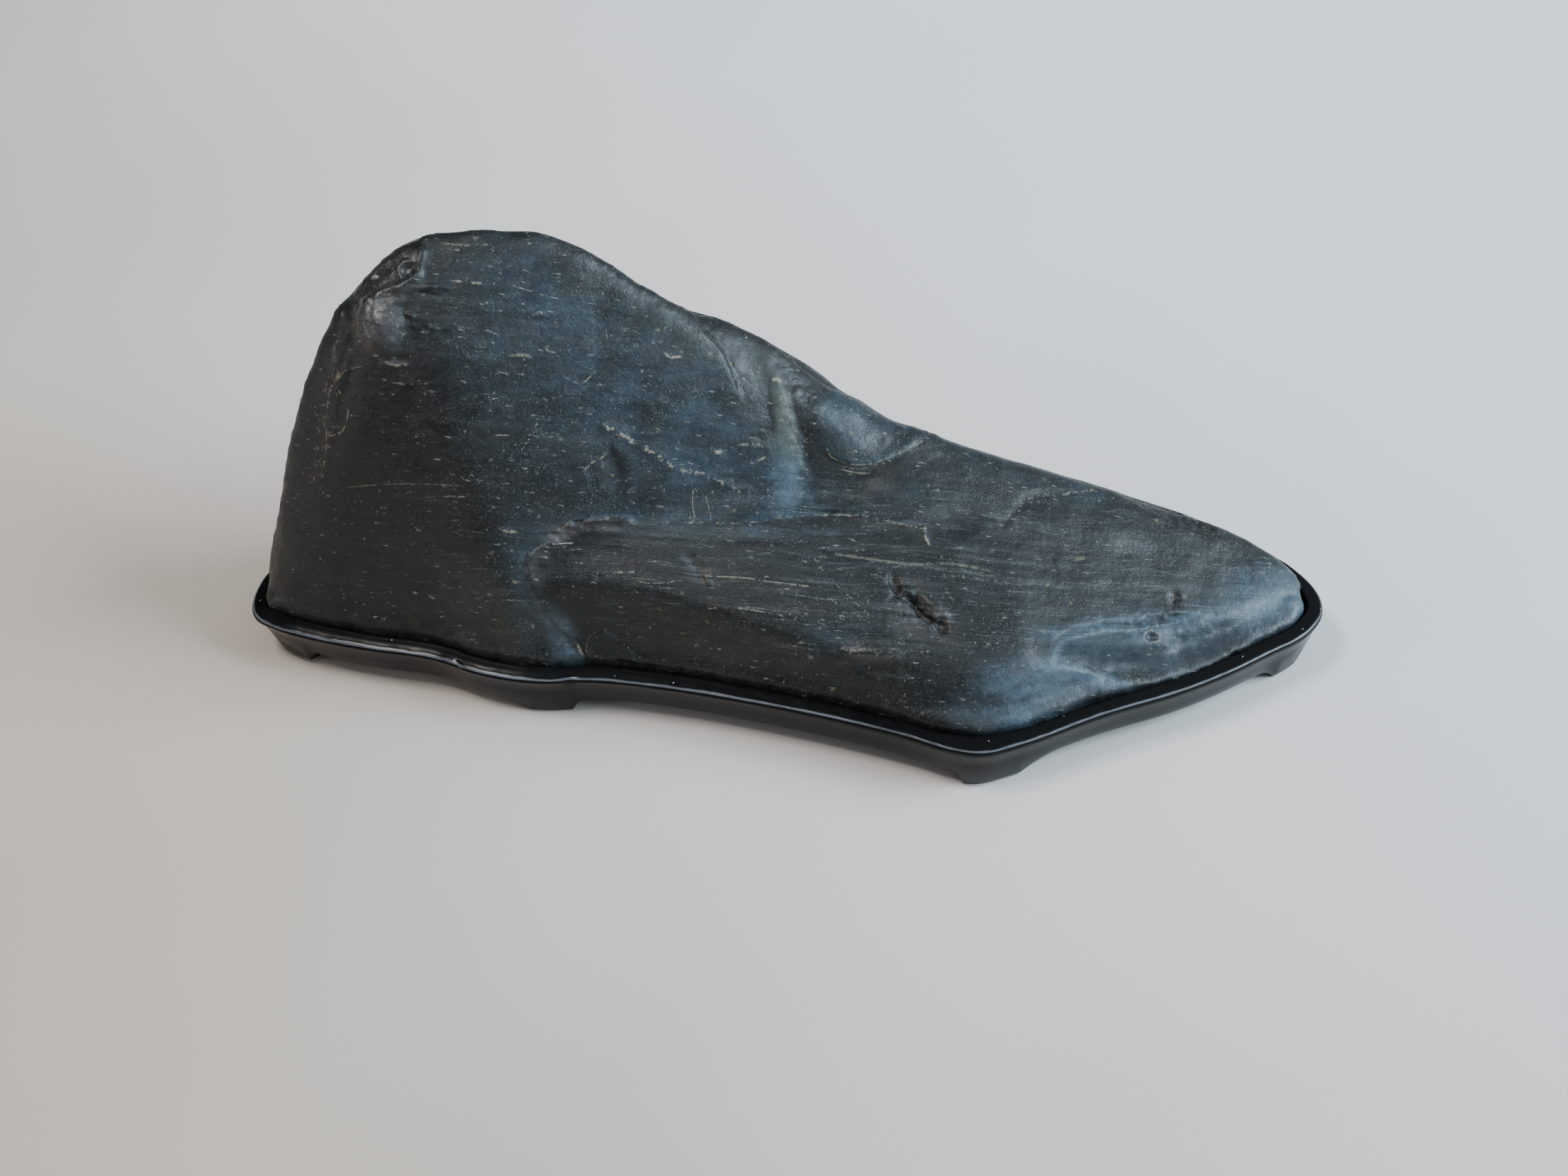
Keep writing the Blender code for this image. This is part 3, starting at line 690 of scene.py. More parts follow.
def swells(points, name):
    offset, size, octaves = SWELLS[name]
    return scatter_noise(points + offset, size, octaves)


def merged_copy(node):
    """A new bmesh of a CAD node with its loose triangles joined."""
    bm = bmesh.new()
    bm.from_mesh(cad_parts[node].data)
    bmesh.ops.remove_doubles(bm, verts=bm.verts, dist=1e-6)
    return bm


def object_from(bm, name):
    mesh = bpy.data.meshes.new(name)
    bm.to_mesh(mesh)
    bm.free()
    made = bpy.data.objects.new(name, mesh)
    bpy.context.scene.collection.objects.link(made)
    return made


def apply_modifiers(piece):
    graph = bpy.context.evaluated_depsgraph_get()
    mesh = bpy.data.meshes.new_from_object(piece.evaluated_get(graph))
    piece.modifiers.clear()
    piece.data = mesh


def smooth_points(bm, verts, steps):
    for _ in range(steps):
        bmesh.ops.smooth_vert(bm, verts=verts, factor=0.5, use_axis_x=True, use_axis_y=True, use_axis_z=True)


def vectors_of(owner, key):
    values = np.empty(len(owner) * 3, np.float32)
    owner.foreach_get(key, values)
    return values.reshape(-1, 3).astype(float)


def points_of(mesh):
    return vectors_of(mesh.vertices, "co") / MM


def normals_of(mesh):
    return vectors_of(mesh.vertex_normals, "vector")


def move_points(mesh, points):
    mesh.vertices.foreach_set("co", (points * MM).astype(np.float32).ravel())
    mesh.update()


def keep_field(mesh, name, values):
    layer = mesh.attributes.new(name, "FLOAT", "POINT")
    layer.data.foreach_set("value", values.astype(np.float32))


def rim_outline():
    """The rim's outer edge, read from the stand's solid: evenly spaced points, anticlockwise."""
    bm = merged_copy("stand")
    ring = [v.co.xy / MM for v in bm.verts if abs(v.co.z / MM - OUTLINE_LEVEL) < OUTLINE_SLACK]
    bm.free()
    ring.sort(key=lambda p: math.atan2(p.y, p.x))
    return even_ring(np.array([tuple(p) for p in ring]), STATIONS)


def even_ring(knots, count, steps=8):
    """A smooth closed line through the knots, at evenly spaced points."""
    before, after, beyond = (np.roll(knots, k, axis=0) for k in (1, -1, -2))
    line = [between(before, knots, after, beyond, t) for t in np.linspace(0.0, 1.0, steps, endpoint=False)]
    dense = np.stack(line, axis=1).reshape(-1, 2)
    closed = np.vstack([dense, dense[:1]])
    run = np.concatenate([[0.0], np.cumsum(np.linalg.norm(np.diff(closed, axis=0), axis=1))])
    stops = np.linspace(0.0, run[-1], count, endpoint=False)
    return np.stack([np.interp(stops, run, closed[:, k]) for k in (0, 1)], axis=1)


def inward(ring):
    along = np.roll(ring, -1, axis=0) - np.roll(ring, 1, axis=0)
    along /= np.linalg.norm(along, axis=1)[:, None]
    return np.stack([-along[:, 1], along[:, 0]], axis=1)


def distances(ring, place):
    return np.linalg.norm(ring - np.array(place), axis=1)


def bump_near(ring, places):
    """What is added at each point of a ring near the places: (middle, reach, how much)."""
    total = np.zeros(len(ring))
    for centre, reach, extra in places:
        away = distances(ring, centre) / reach
        total += extra * np.clip(1.0 - away * away, 0.0, 1.0) ** 2
    return total


def ring_noise(ring, size, seed, octaves):
    """Fractal noise at each point of a ring, about -1 to 1."""
    points = (Vector((x / size, y / size, seed)) for x, y in ring)
    return np.array([noise.fractal(p, FRACTAL_DROP, FRACTAL_STEP, octaves) for p in points])


def foot_drop(ring):
    """How far down a foot reaches at each point: 1 on its sole, 0 past its shoulders."""
    steps = np.linalg.norm(np.roll(ring, -1, axis=0) - ring, axis=1)
    run = np.concatenate([[0.0], np.cumsum(steps)[:-1]])
    around = steps.sum()
    deepest = np.zeros(len(ring))
    for centre, sole, before, after in FEET.values():
        middle = run[np.argmin(distances(ring, centre))]
        offset = (run - middle + around / 2) % around - around / 2
        past = (np.abs(offset) - sole / 2) / np.where(offset < 0.0, before, after)
        deepest = np.maximum(deepest, (1.0 - np.clip(past, 0.0, 1.0)) ** 2)
    return deepest


class Shading:
    """A tree of shader nodes, whose inputs take a number, a colour or another node's output."""

    def __init__(self, tree):
        self.tree = tree

    def add(self, kind, settings=(), **inputs):
        node = self.tree.nodes.new(kind)
        for key, value in dict(settings).items():
            setattr(node, key, value)
        for key, value in inputs.items():
            self.feed(node.inputs[key.replace("_", " ")], value)
        return node

    def feed(self, socket, value):
        if isinstance(value, bpy.types.NodeSocket):
            self.tree.links.new(value, socket)
        else:
            socket.default_value = value

    def pair(self, kind, operation, first, second):
        node = self.add(kind, {"operation": operation})
        self.feed(node.inputs[0], first)
        self.feed(node.inputs[1], second)
        return node.outputs

    def maths(self, operation, first, second=0.0):
        return self.pair("ShaderNodeMath", operation, first, second)[0]

    def along(self, place, way):
        """How far the place lies along a direction."""
        return self.pair("ShaderNodeVectorMath", "DOT_PRODUCT", place, way)["Value"]

    def product(self, first, *others):
        for other in others:
            first = self.maths("MULTIPLY", first, other)
        return first

    def total(self, values, shares):
        """The sum of the named values, each times its share."""
        first, *others = (self.product(values[name], share) for name, share in shares.items())
        for other in others:
            first = self.maths("ADD", first, other)
        return first

    def level(self, value, low, high, least=0.0, most=1.0):
        """The value eased from least to most as it goes from low to high."""
        node = self.add("ShaderNodeMapRange", {"interpolation_type": "SMOOTHSTEP"}, Value=value)
        for key, number in (("From Min", low), ("From Max", high), ("To Min", least), ("To Max", most)):
            node.inputs[key].default_value = number
        return node.outputs[0]

    def falling(self, value, low, high):
        return self.maths("SUBTRACT", 1.0, self.level(value, low, high))

    def spread(self, value, name):
        return self.level(value, *SPREADS[name])

    def mixed(self, share, first, second):
        node = self.add("ShaderNodeMix", {"data_type": "RGBA"})
        for index, value in ((0, share), (6, first), (7, second)):
            self.feed(node.inputs[index], value)
        return node.outputs[2]

    def stretched(self, place, sizes, turn=UPRIGHT):
        """The place in a turned frame, measured in sizes given in mm."""
        node = self.add("ShaderNodeMapping", {"vector_type": "TEXTURE"}, Vector=place)
        node.inputs["Rotation"].default_value = turn
        node.inputs["Scale"].default_value = [size * MM for size in sizes]
        return node.outputs[0]

    def pattern(self, name, place):
        """One of the named noises."""
        sizes, detail, roughness, *turn = PATTERNS[name]
        at = self.stretched(place, sizes, *turn)
        node = self.add("ShaderNodeTexNoise", Vector=at, Scale=1.0, Detail=detail, Roughness=roughness)
        return node.outputs["Fac"]

    def moved(self, place, size, most):
        """The place moved about by a noise of a given size, by up to about half of most, both in mm."""
        at = self.stretched(place, (size, size, size))
        drift = self.add("ShaderNodeTexNoise", Vector=at, Scale=1.0, Detail=2.0)
        shift = self.add("ShaderNodeVectorMath", {"operation": "SCALE"}, Vector=drift.outputs["Color"])
        shift.inputs["Scale"].default_value = most * MM
        return self.pair("ShaderNodeVectorMath", "ADD", place, shift.outputs[0])[0]

    def scattered(self, name, place):
        """One of the named kinds of mark: 1 on each mark and 0 between them."""
        sizes, turn, edge, chance = SCATTERED[name]
        cells = self.add("ShaderNodeTexVoronoi", Vector=self.stretched(place, sizes, turn), Scale=1.0)
        number = self.add("ShaderNodeSeparateColor", Color=cells.outputs["Color"]).outputs[0]
        return self.product(self.falling(cells.outputs["Distance"], *edge), self.level(number, *chance))


class Finish(Shading):
    """One procedural material on object coordinates."""

    def __init__(self, name):
        self.material = bpy.data.materials.new(name)
        self.material.use_nodes = True
        super().__init__(self.material.node_tree)
        self.place = self.add("ShaderNodeTexCoord").outputs["Object"]

    def field(self, name):
        """What keep_field stored for each vertex under this name."""
        return self.add("ShaderNodeAttribute", {"attribute_name": name}).outputs["Fac"]

    def complete(self, colour, roughness, specular, relief, strength, depth):
        """Gives the surface its look; the depth of the relief is in mm."""
        bump = self.add("ShaderNodeBump", Height=relief, Strength=strength, Distance=depth * MM).outputs[0]
        shader = self.tree.nodes["Principled BSDF"]
        for key, value in (("Base Color", colour), ("Roughness", roughness), ("Normal", bump)):
            self.feed(shader.inputs[key], value)
        shader.inputs["Specular IOR Level"].default_value = specular
        return self.material


def seat_line():
    """The line inside the rim that the stone's foot follows, and the way inwards from it."""
    ring = rim_outline()
    normal = inward(ring)
    lip = LIP_WIDTH + bump_near(ring, WIDER_LIP) + bump_near(ring, CHIPPED_FOOT)
    crumbs = np.array([noise.noise(Vector((x, y, 0.0)) / SEAT_CRUMBS_SIZE) for x, y in ring])
    uneven = SEAT_NOISE_HEIGHT * ring_noise(ring, *SEAT_NOISE) + SEAT_CRUMBS_HEIGHT * crumbs
    gap = SEAT_GAP + np.clip(uneven, -MOST_OVERLAP, WIDEST_EXTRA_GAP)
    line = ring + normal * (lip + gap)[:, None]
    return line[::SEAT_LINE_STEP], normal[::SEAT_LINE_STEP]


def inside_line(points, line, normal):
    """How far inside a closed line each point lies, and the way inwards there."""
    away = np.linalg.norm(points[:, None, :2] - line[None], axis=2)
    nearest = np.argmin(away, axis=1)
    return dots(points[:, :2] - line[nearest], normal[nearest]), normal[nearest]


def draw_in(mesh):
    """Presses back along the line of sight what would hang out over the rim."""
    points = points_of(mesh)
    facing = smoothstep(*FRONT_FACING, normals_of(mesh)[:, 1])
    line, normal = seat_line()
    for _ in range(DRAW_STEPS):
        low = np.flatnonzero((points[:, 2] < DRAWN_BELOW) & (facing > 0.0))
        inside, inwards = inside_line(points[low], line, normal)
        sight = sight_lines(points[low])
        level = np.maximum(-dots(sight[:, :2], inwards), STEEPEST_DRAW)
        rise = np.maximum(points[low, 2] - RIM_HEIGHT, 0.0)
        lean = FOOT_LEAN * np.minimum(rise, FLARE_HEIGHT) + WALL_LEAN * np.maximum(rise - FLARE_HEIGHT, 0.0)
        short = np.maximum(lean - inside, 0.0)
        short *= smoothstep(DRAWN_BELOW, DRAWN_BELOW - DRAWN_BLEND, points[low, 2]) * facing[low]
        points[low] -= sight * (DRAW_SHARE * short / level)[:, None]
    move_points(mesh, points)


def relax_left_end(mesh):
    """Evens out the left end's back, which drawing in the front leaves creased."""
    bm = bmesh.new()
    bm.from_mesh(mesh)
    left, front, top = (size * MM for size in LEFT_END)
    creased = [v for v in bm.verts if v.co.x < left and v.co.y > front and v.co.z < top]
    smooth_points(bm, creased, LEFT_END_STEPS)
    bm.to_mesh(mesh)
    bm.free()


def fit_to_seat(mesh):
    """Brings the stone's foot out to the rim all round, with a thin uneven gap between."""
    points = points_of(mesh)
    line, normal = seat_line()
    low = np.flatnonzero((points[:, 2] < FOOT_BLEND) & (normals_of(mesh)[:, 2] > LEVEL_UNDERSIDE))
    inside, inwards = inside_line(points[low], line, normal)
    share = smoothstep(FOOT_BLEND, RIM_HEIGHT + 0.5, points[low, 2])
    share *= smoothstep(MOST_FOOT_MOVE, LEAST_FOOT_MOVE, inside)
    points[low, :2] -= inwards * (inside * share)[:, None]
    move_points(mesh, points)


def press(mesh):
    """Pushes places back along the line of sight, so that they keep their outline."""
    points = points_of(mesh)
    places = seen(points)
    depth = np.zeros(len(points))
    for *patch, amount in PRESSED:
        depth += amount * smoothstep(*PRESS_FADE, in_ellipse(places, *patch))
    move_points(mesh, points - sight_lines(points) * depth[:, None])


def refine_front(mesh):
    """Halves the faces that the front view sees, and again where the relief is fine."""
    for fine in (False, True):
        bm = bmesh.new()
        bm.from_mesh(mesh)
        bm.faces.ensure_lookup_table()
        middles = np.array([face.calc_center_median() for face in bm.faces]) / MM
        normals = np.array([face.normal for face in bm.faces])
        chosen = (dots(normals, sight_lines(middles)) > FACING_VIEW) & (middles[:, 2] > RIM_HEIGHT - 1.0)
        if fine:
            places = seen(middles)
            chosen &= np.min([in_ellipse(places, *patch) for patch in FINE_PLACES], axis=0) < 1.0
        edges = {edge for index in np.flatnonzero(chosen) for edge in bm.faces[index].edges}
        edges = sorted(edges, key=lambda edge: edge.index)
        bmesh.ops.subdivide_edges(bm, edges=edges, cuts=1, use_grid_fill=True)
        smooth_points(bm, bm.verts, REFINED_STEPS)
        bm.to_mesh(mesh)
        bm.free()


def wear(mesh, swell):
    """Moves the stone's surface out and in: swells, layers, steps, knobs and lines."""
    points = points_of(mesh)
    normals = normals_of(mesh)
    places = seen(points)
    front = smoothstep(*WORN_FACING, dots(normals, sight_lines(points)))
    fine = swells(points, "fine")
    crumbs = swells(points, "crumbs")
    layers = scatter_noise(layered(points), 1.0, 3)
    height = GROWN + swell * swells(points, "rough") + FINE_HEIGHT * fine + LAYER_HEIGHT * layers
    for line, brow, brow_reach, foot, foot_reach, half in STEPS.values():
        signed, past = beside(places, line)
        signed = signed / PIXELS_PER_MM + STEP_RAGGED[0] * fine + STEP_RAGGED[1] * crumbs
        above = brow * np.exp(-np.abs(signed) / brow_reach)
        below = -foot * np.exp(-np.abs(signed) / foot_reach)
        profile = below + (above - below) * smoothstep(-half, half, signed)
        height += front * profile * smoothstep(*STEP_END, past / PIXELS_PER_MM)
    for *patch, rise in KNOBS:
        share = in_ellipse(places, *patch) + KNOB_RAGGED * fine
        across, _, _, half_width, _ = patch
        if half_width < SMALL_KNOB and across > SMOOTH_LEFT_OF:
            share += KNOB_CRUMBS * crumbs
        height += front * rise * smoothstep(*KNOB_FADE, share)
    for line, width, relief, *_ in [*VEINS.values(), *CRACKS_AND_PIT_SHADE.values(), *RIDGES.values()]:
        if relief:
            signed, past = beside(places, line)
            reach = RELIEF_WIDTH[0] * width + RELIEF_WIDTH[1]
            profile = np.exp(-((signed / reach) ** 2))
            height += front * relief * profile * smoothstep(*RELIEF_END, past)
    crumbled = np.where(places[:, 0] > SMOOTH_LEFT_OF, CRUMB_HEIGHT, CRUMB_HEIGHT_LEFT)
    height += crumbled * crumbs * front * patch_amount(TONES["warm"], places, WARM_RAGGED * fine)
    above_rim = smoothstep(RIM_HEIGHT - 1.0, FOOT_BLEND, points[:, 2])
    height *= above_rim * (1.0 - WEAR_AT_RIM) + WEAR_AT_RIM
    move_points(mesh, points + normals * height[:, None])


def patch_amount(patches, places, uneven):
    """The summed amounts of the patches at each place."""
    value = np.zeros(len(places))
    for *patch, amount in patches:
        value += amount * smoothstep(*PATCH_FADE, in_ellipse(places, *patch) + uneven)
    return np.clip(value, 0.0, 1.0)


def layered(points):
    """Points in the frame of the stone's layers, whose third axis crosses them, in units of their sizes."""
    across = np.array(LAYER_NORMAL)
    across /= np.linalg.norm(across)
    first = np.cross((0.0, 1.0, 0.0), across)
    first /= np.linalg.norm(first)
    axes = np.stack([first, np.cross(across, first), across], axis=1)
    return points @ axes / np.array(LAYER_SIZES)


def keep_tones(mesh, places, front, hidden, uneven):
    """Stores how much of each tone every vertex has."""
    for name, patches in TONES.items():
        back = np.clip(HIDDEN_SWING * hidden + HIDDEN_TONES[name], 0.0, 1.0)
        value = patch_amount(patches, places, uneven)
        # The tones along lines paint highlights and shade beside the steps.
        for tone, line, side, reach, amount in EDGE_TONES:
            if tone == name:
                signed, past = beside(places, line)
                off = side * (signed + EDGE_TONE_RAGGED * uneven)
                faded = np.exp(-np.abs(off) / reach) * smoothstep(*TONE_START, off)
                value += amount * faded * smoothstep(*TONE_END, past)
        keep_field(mesh, name, front * np.clip(value, 0.0, 1.0) + (1.0 - front) * back)


def keep_lines(mesh, name, lines, places, front):
    """Stores each vertex's distance to the nearest line in line widths, its strength and how broken it is."""
    nearest = np.full(len(places), FAR_OFF)
    strength = np.zeros(len(places))
    broken = np.zeros(len(places))
    for line, width, _, amount, gaps in lines.values():
        signed, past = beside(places, line)
        signed /= width
        nearer = np.abs(signed) + np.clip(past / width, 0.0, FAR_OFF) < np.abs(nearest)
        nearest[nearer] = signed[nearer]
        reach = smoothstep(*LINE_SIDE, np.abs(signed)) * smoothstep(*LINE_END, past) * amount
        strength[nearer] = reach[nearer]
        broken[nearer] = gaps
    keep_field(mesh, name, np.clip(nearest, -FAR_OFF, FAR_OFF))
    keep_field(mesh, name + "_strength", strength * front)
    keep_field(mesh, name + "_gaps", broken)


def keep_fields(mesh):
    """Stores the tones, the nearest vein and the nearest crack, with the painted shade in the deep pit, at
    each vertex, for the finish to read.
    """
    points = points_of(mesh)
    places = seen(points)
    front = smoothstep(*PAINTED_FACING, dots(normals_of(mesh), sight_lines(points)))
    keep_tones(mesh, places, front, swells(points, "hidden"), TONE_RAGGED * swells(points, "uneven"))
    keep_lines(mesh, "vein", VEINS, places, front)
    keep_lines(mesh, "crack_and_pit_shade", CRACKS_AND_PIT_SHADE, places, front)


def stone_finish(settings):
    look = Finish("water_worn_stone")
    warped = look.moved(look.place, *WARPED)
    noises = {name: look.pattern(name, look.place) for name in ("patchy", "mottle", "grain", "peel")}
    noises["streak"] = look.pattern("streak", warped)
    streaks = look.spread(look.field("streaks"), "streaks")

    colour = stone_tones(look, settings, noises)
    colour = stone_streaks(look, colour, warped, noises, streaks)
    colour, marks = stone_marks(look, settings, colour, noises)
    colour, vein, crack_and_pit_shade = stone_lines(look, settings, colour)

    spread = {
        "mottle": look.spread(noises["mottle"], "rough_mottle"),
        "grain": look.spread(noises["grain"], "rough_grain"),
        "dark": look.field("dark"), "dull_shaded": look.field("dull_shaded"), "vein": vein, "marks": marks,
    }
    rough = look.maths("ADD", look.total(spread, ROUGHNESS_SHARES), ROUGHNESS)
    rough = look.maths("SUBTRACT", rough, look.product(look.field("gloss"), GLOSS_SHARE))
    raised = {**noises, "marks": marks, "crack_and_pit_shade": crack_and_pit_shade, "vein": vein}
    raised["streak"] = look.product(noises["streak"], streaks)
    return look.complete(colour, rough, STONE_SPECULAR, look.total(raised, RELIEF_SHARES), *STONE_BUMP)


def stone_tones(look, settings, noises):
    """The broad tones, with painted light and shade among them: clouds, the blue facets with the window's
    painted reflection, the olive and dark places, the pale and warm ones, and the rough ones painted darker.
    """
    clouds = look.spread(look.pattern("clouds", look.place), "clouds")
    colour = look.mixed(clouds, list(settings.dark), list(settings.grey))
    facets = ("blue", "patchy", SPREADS["blue"], list(settings.blue))
    for tone, noise_name, spread, paint in [facets, *PAINTS]:
        share = look.product(look.field(tone), look.level(noises[noise_name], *spread))
        colour = look.mixed(share, colour, paint)
    return look.mixed(look.product(look.field("dull_shaded"), DULL_SHADE_SHARE), colour, DULL_SHADE_COLOUR)


def stone_streaks(look, colour, warped, noises, amount):
    """Layers that cross the stone: pale and dark bands and fine threads."""
    streak, grain = noises["streak"], noises["grain"]
    wisp = look.spread(look.pattern("wisp", warped), "wisp")
    wisp = look.product(wisp, amount, look.spread(grain, "wisp_grain"))
    colour = look.mixed(wisp, colour, WISP_COLOUR)
    band = look.product(look.spread(streak, "band"), amount, BAND_SHARE)
    colour = look.mixed(band, colour, BAND_COLOUR)
    thread = look.spread(look.pattern("thread", warped), "thread")
    thread = look.product(thread, amount, look.spread(grain, "thread_grain"))
    colour = look.mixed(thread, colour, THREAD_COLOUR)
    dark_band = look.product(look.falling(streak, *SPREADS["dark_band"]), amount)
    return look.mixed(dark_band, colour, DARK_BAND_COLOUR)


def stone_marks(look, settings, colour, noises):
    """Grain, specks, dashes and flecks, thicker in some places than in others, and where they are."""
    grain = noises["grain"]
    jagged = look.moved(look.place, *JAGGED)
    crowd = look.spread(look.pattern("crowd", look.place), "crowd")
    crowd = look.product(crowd, look.maths("SUBTRACT", 1.0, look.product(look.field("dark"), DARK_CLEARS)))
    grit = look.product(look.spread(grain, "grit"), crowd, GRIT_SHARE)
    colour = look.mixed(grit, colour, list(settings.pale))
    clusters = look.pattern("clusters", look.place)
    speck = look.spread(look.pattern("salt", look.place), "speck")
    kinds = {
        "speck": look.product(speck, look.spread(clusters, "speck_cluster"), crowd),
        "spot": look.product(look.scattered("spot", jagged), look.spread(clusters, "spot_cluster")),
        "bit": look.product(look.scattered("bit", jagged), look.spread(grain, "bit_grain")),
        "dash": look.product(look.scattered("dash", jagged), look.spread(grain, "dash_grain"), crowd),
        "cut": look.scattered("cut", jagged),
    }
    marks = look.maths("MINIMUM", look.total(kinds, MARK_SHARES), 1.0)
    colour = look.mixed(marks, colour, list(settings.pale))
    mottled = look.spread(noises["mottle"], "fleck_mottle")
    fleck = look.product(look.scattered("fleck", jagged), mottled, FLECK_SHARE)
    return look.mixed(fleck, colour, FLECK_COLOUR), marks


def stone_lines(look, settings, colour):
    """The veins and cracks that the mesh carries, with the painted shade in the deep pit among the cracks,
    with ragged edges and gaps.
    """
    ragged = look.maths("SUBTRACT", look.pattern("ragged", look.place), RAGGED_MIDDLE)
    holes = look.pattern("gaps", look.place)
    found = []
    for name, paint in (("vein", list(settings.cream)), ("crack_and_pit_shade", CRACK_AND_PIT_SHADE_COLOUR)):
        gaps = look.field(name + "_gaps")
        rough = look.maths("ADD", look.product(gaps, BROKEN_RAGGED), LINE_RAGGED)
        off = look.maths("ADD", look.maths("ABSOLUTE", look.field(name)), look.product(ragged, rough))
        line = look.product(look.falling(off, *SPREADS["line_edge"]), look.field(name + "_strength"))
        kept = look.spread(look.maths("SUBTRACT", holes, look.product(gaps, GAP_SHARE)), "line_gaps")
        line = look.product(line, kept)
        colour = look.mixed(line, colour, paint)
        found.append(line)
    return colour, *found


def stand_rings(ring, rounding):
    """The stand's section at every station: the seat, the rim, the apron and the feet, in that order."""
    normal = inward(ring)
    ends = np.array(SPINE)
    span = ends[1] - ends[0]
    share = np.clip((ring - ends[0]) @ span / (span @ span), 0.0, 1.0)
    spine = ends[0] + share[:, None] * span - ring
    spine /= np.linalg.norm(spine, axis=1)[:, None]
    drop = foot_drop(ring)
    ripple = ring_noise(ring, *RIPPLE)
    lip = LIP_WIDTH + bump_near(ring, WIDER_LIP) + CARVED_LIP * ring_noise(ring, *CARVING)
    lean = APRON_LEAN + bump_near(ring, DEEPER_LEAN)
    dent = sum(depth * np.exp(-((distances(ring, place) / half) ** 2)) for place, half, depth in NICKS)
    radius = rounding * (1.0 + RIPPLED_EDGE * ripple)
    top = RIM_HEIGHT + RIPPLED_TOP * ripple
    rings = []

    def add(inset, height, under=0.0):
        flat = ring + normal * np.broadcast_to(inset, len(ring))[:, None] + spine * under
        rings.append(np.column_stack([flat, np.broadcast_to(height, len(ring))]))

    add(lip, SEAT_FLOOR)
    for out, below in SEAT_WALL:
        add(lip - out, RIM_HEIGHT - below)
    for out, below in SEAT_EDGE:
        add(lip - out, top - below)
    crown = np.clip(bump_near(ring, CROWNED_LIP), 0.0, 1.0)
    for share in np.linspace(0.0, 1.0, LIP_RINGS):
        run = share * (lip - LIP_START - radius)
        fall = crown * (CROWN_TILT * run + CROWN_BEND * run**2)
        add(lip - LIP_START - run, top - fall)
    first = np.arctan(crown * (CROWN_TILT + 2.0 * CROWN_BEND * run))
    for share in np.linspace(FIRST_EDGE_SHARE, 1.0, EDGE_RINGS):
        turn = first + (math.pi / 2 - first) * share
        inset = radius * (1.0 - np.sin(turn)) / (1.0 - np.sin(first))
        add(inset + dent, top - fall - radius * (np.cos(first) - np.cos(turn)) - DENT_DROP * dent)
    below_edge = np.minimum(RIM_HEIGHT - rounding - APRON_TOP_DROP, rings[-1][:, 2] - LEAST_DROP)
    add(APRON_TOP_LEAN * lean + APRON_DENT * dent, below_edge)
    for share, height in APRON:
        add(share * lean, height)
    outer = lean * (LOWER_APRON + (1.0 - LOWER_APRON) * drop)
    sole = FOOT_HEIGHT * (1.0 - drop)
    knee = KNEE_LEAN * lean + (1.0 - KNEE_LEAN) * (outer - LOWER_APRON * lean)
    add(knee, np.minimum(sole + KNEE_RISE, HIGHEST_KNEE))
    for inset, rise in SOLE_EDGE:
        add(outer + inset, sole + rise)
    add(outer, sole, FOOT_THICKNESS - SOLE_INNER_ROUNDING)
    add(outer, sole + SOLE_INNER_ROUNDING * drop, FOOT_THICKNESS)
    add(outer, FOOT_HEIGHT, FOOT_THICKNESS + UNDERSIDE_STEP)
    return rings


def lacquer_finish(settings):
    look = Finish("black_lacquer")
    haze = look.pattern("haze", look.place)
    upward = look.along(look.add("ShaderNodeNewGeometry").outputs["Normal"], (0.0, 0.0, 1.0))
    dust = look.product(look.scattered("dust", look.place), look.spread(upward, "dust_upward"))
    colour = look.mixed(look.spread(haze, "haze"), list(settings.lacquer), HAZE_COLOUR)
    # The rim's rounded edge is painted paler as a painted highlight, broken up by the haze.
    painted_edge_highlight = look.product(look.field("edge"), look.spread(haze, "painted_edge_highlight"))
    colour = look.mixed(painted_edge_highlight, colour, EDGE_HIGHLIGHT_COLOUR)
    colour = look.mixed(dust, colour, DUST_COLOUR)
    rough = look.maths("ADD", look.spread(haze, "lacquer_rough"), look.product(dust, DUST_ROUGHNESS))
    return look.complete(colour, rough, LACQUER_SPECULAR, look.pattern("brushed", look.place), *LACQUER_BUMP)


class StoneSettings(PropertyGroup):
    grid: FloatProperty(name="Grid", description="Size of the mesh's faces", default=0.00165, unit="LENGTH")
    weathering: IntProperty(name="Weathering", description="Smoothing steps of the whole form", default=10)
    swell: FloatProperty(name="Swell", description="Height of the broad swells, in mm", default=0.45)
    dark: FloatVectorProperty(
        name="Dark", description="The stone's darkest tone", subtype="COLOR", size=4,
        default=(0.007, 0.0075, 0.007, 1.0),
    )
    grey: FloatVectorProperty(
        name="Grey", description="The stone's usual tone", subtype="COLOR", size=4,
        default=(0.012, 0.013, 0.0122, 1.0),
    )
    # This tone also paints the window's reflection on the lit facets.
    blue: FloatVectorProperty(
        name="Blue", description="The smooth facets' tone", subtype="COLOR", size=4,
        default=(0.0125, 0.022, 0.03, 1.0),
    )
    pale: FloatVectorProperty(
        name="Pale", description="Flecks and worn places", subtype="COLOR", size=4,
        default=(0.2, 0.2, 0.18, 1.0),
    )
    cream: FloatVectorProperty(
        name="Cream", description="Veins", subtype="COLOR", size=4, default=(0.25, 0.225, 0.17, 1.0)
    )


class StandSettings(PropertyGroup):
    lacquer: FloatVectorProperty(
        name="Lacquer", description="Colour of the lacquer", subtype="COLOR", size=4,
        default=(0.004, 0.004, 0.0043, 1.0),
    )
    rounding: FloatProperty(name="Rounding", description="Radius of the rim's outer edge, in mm", default=1.4)


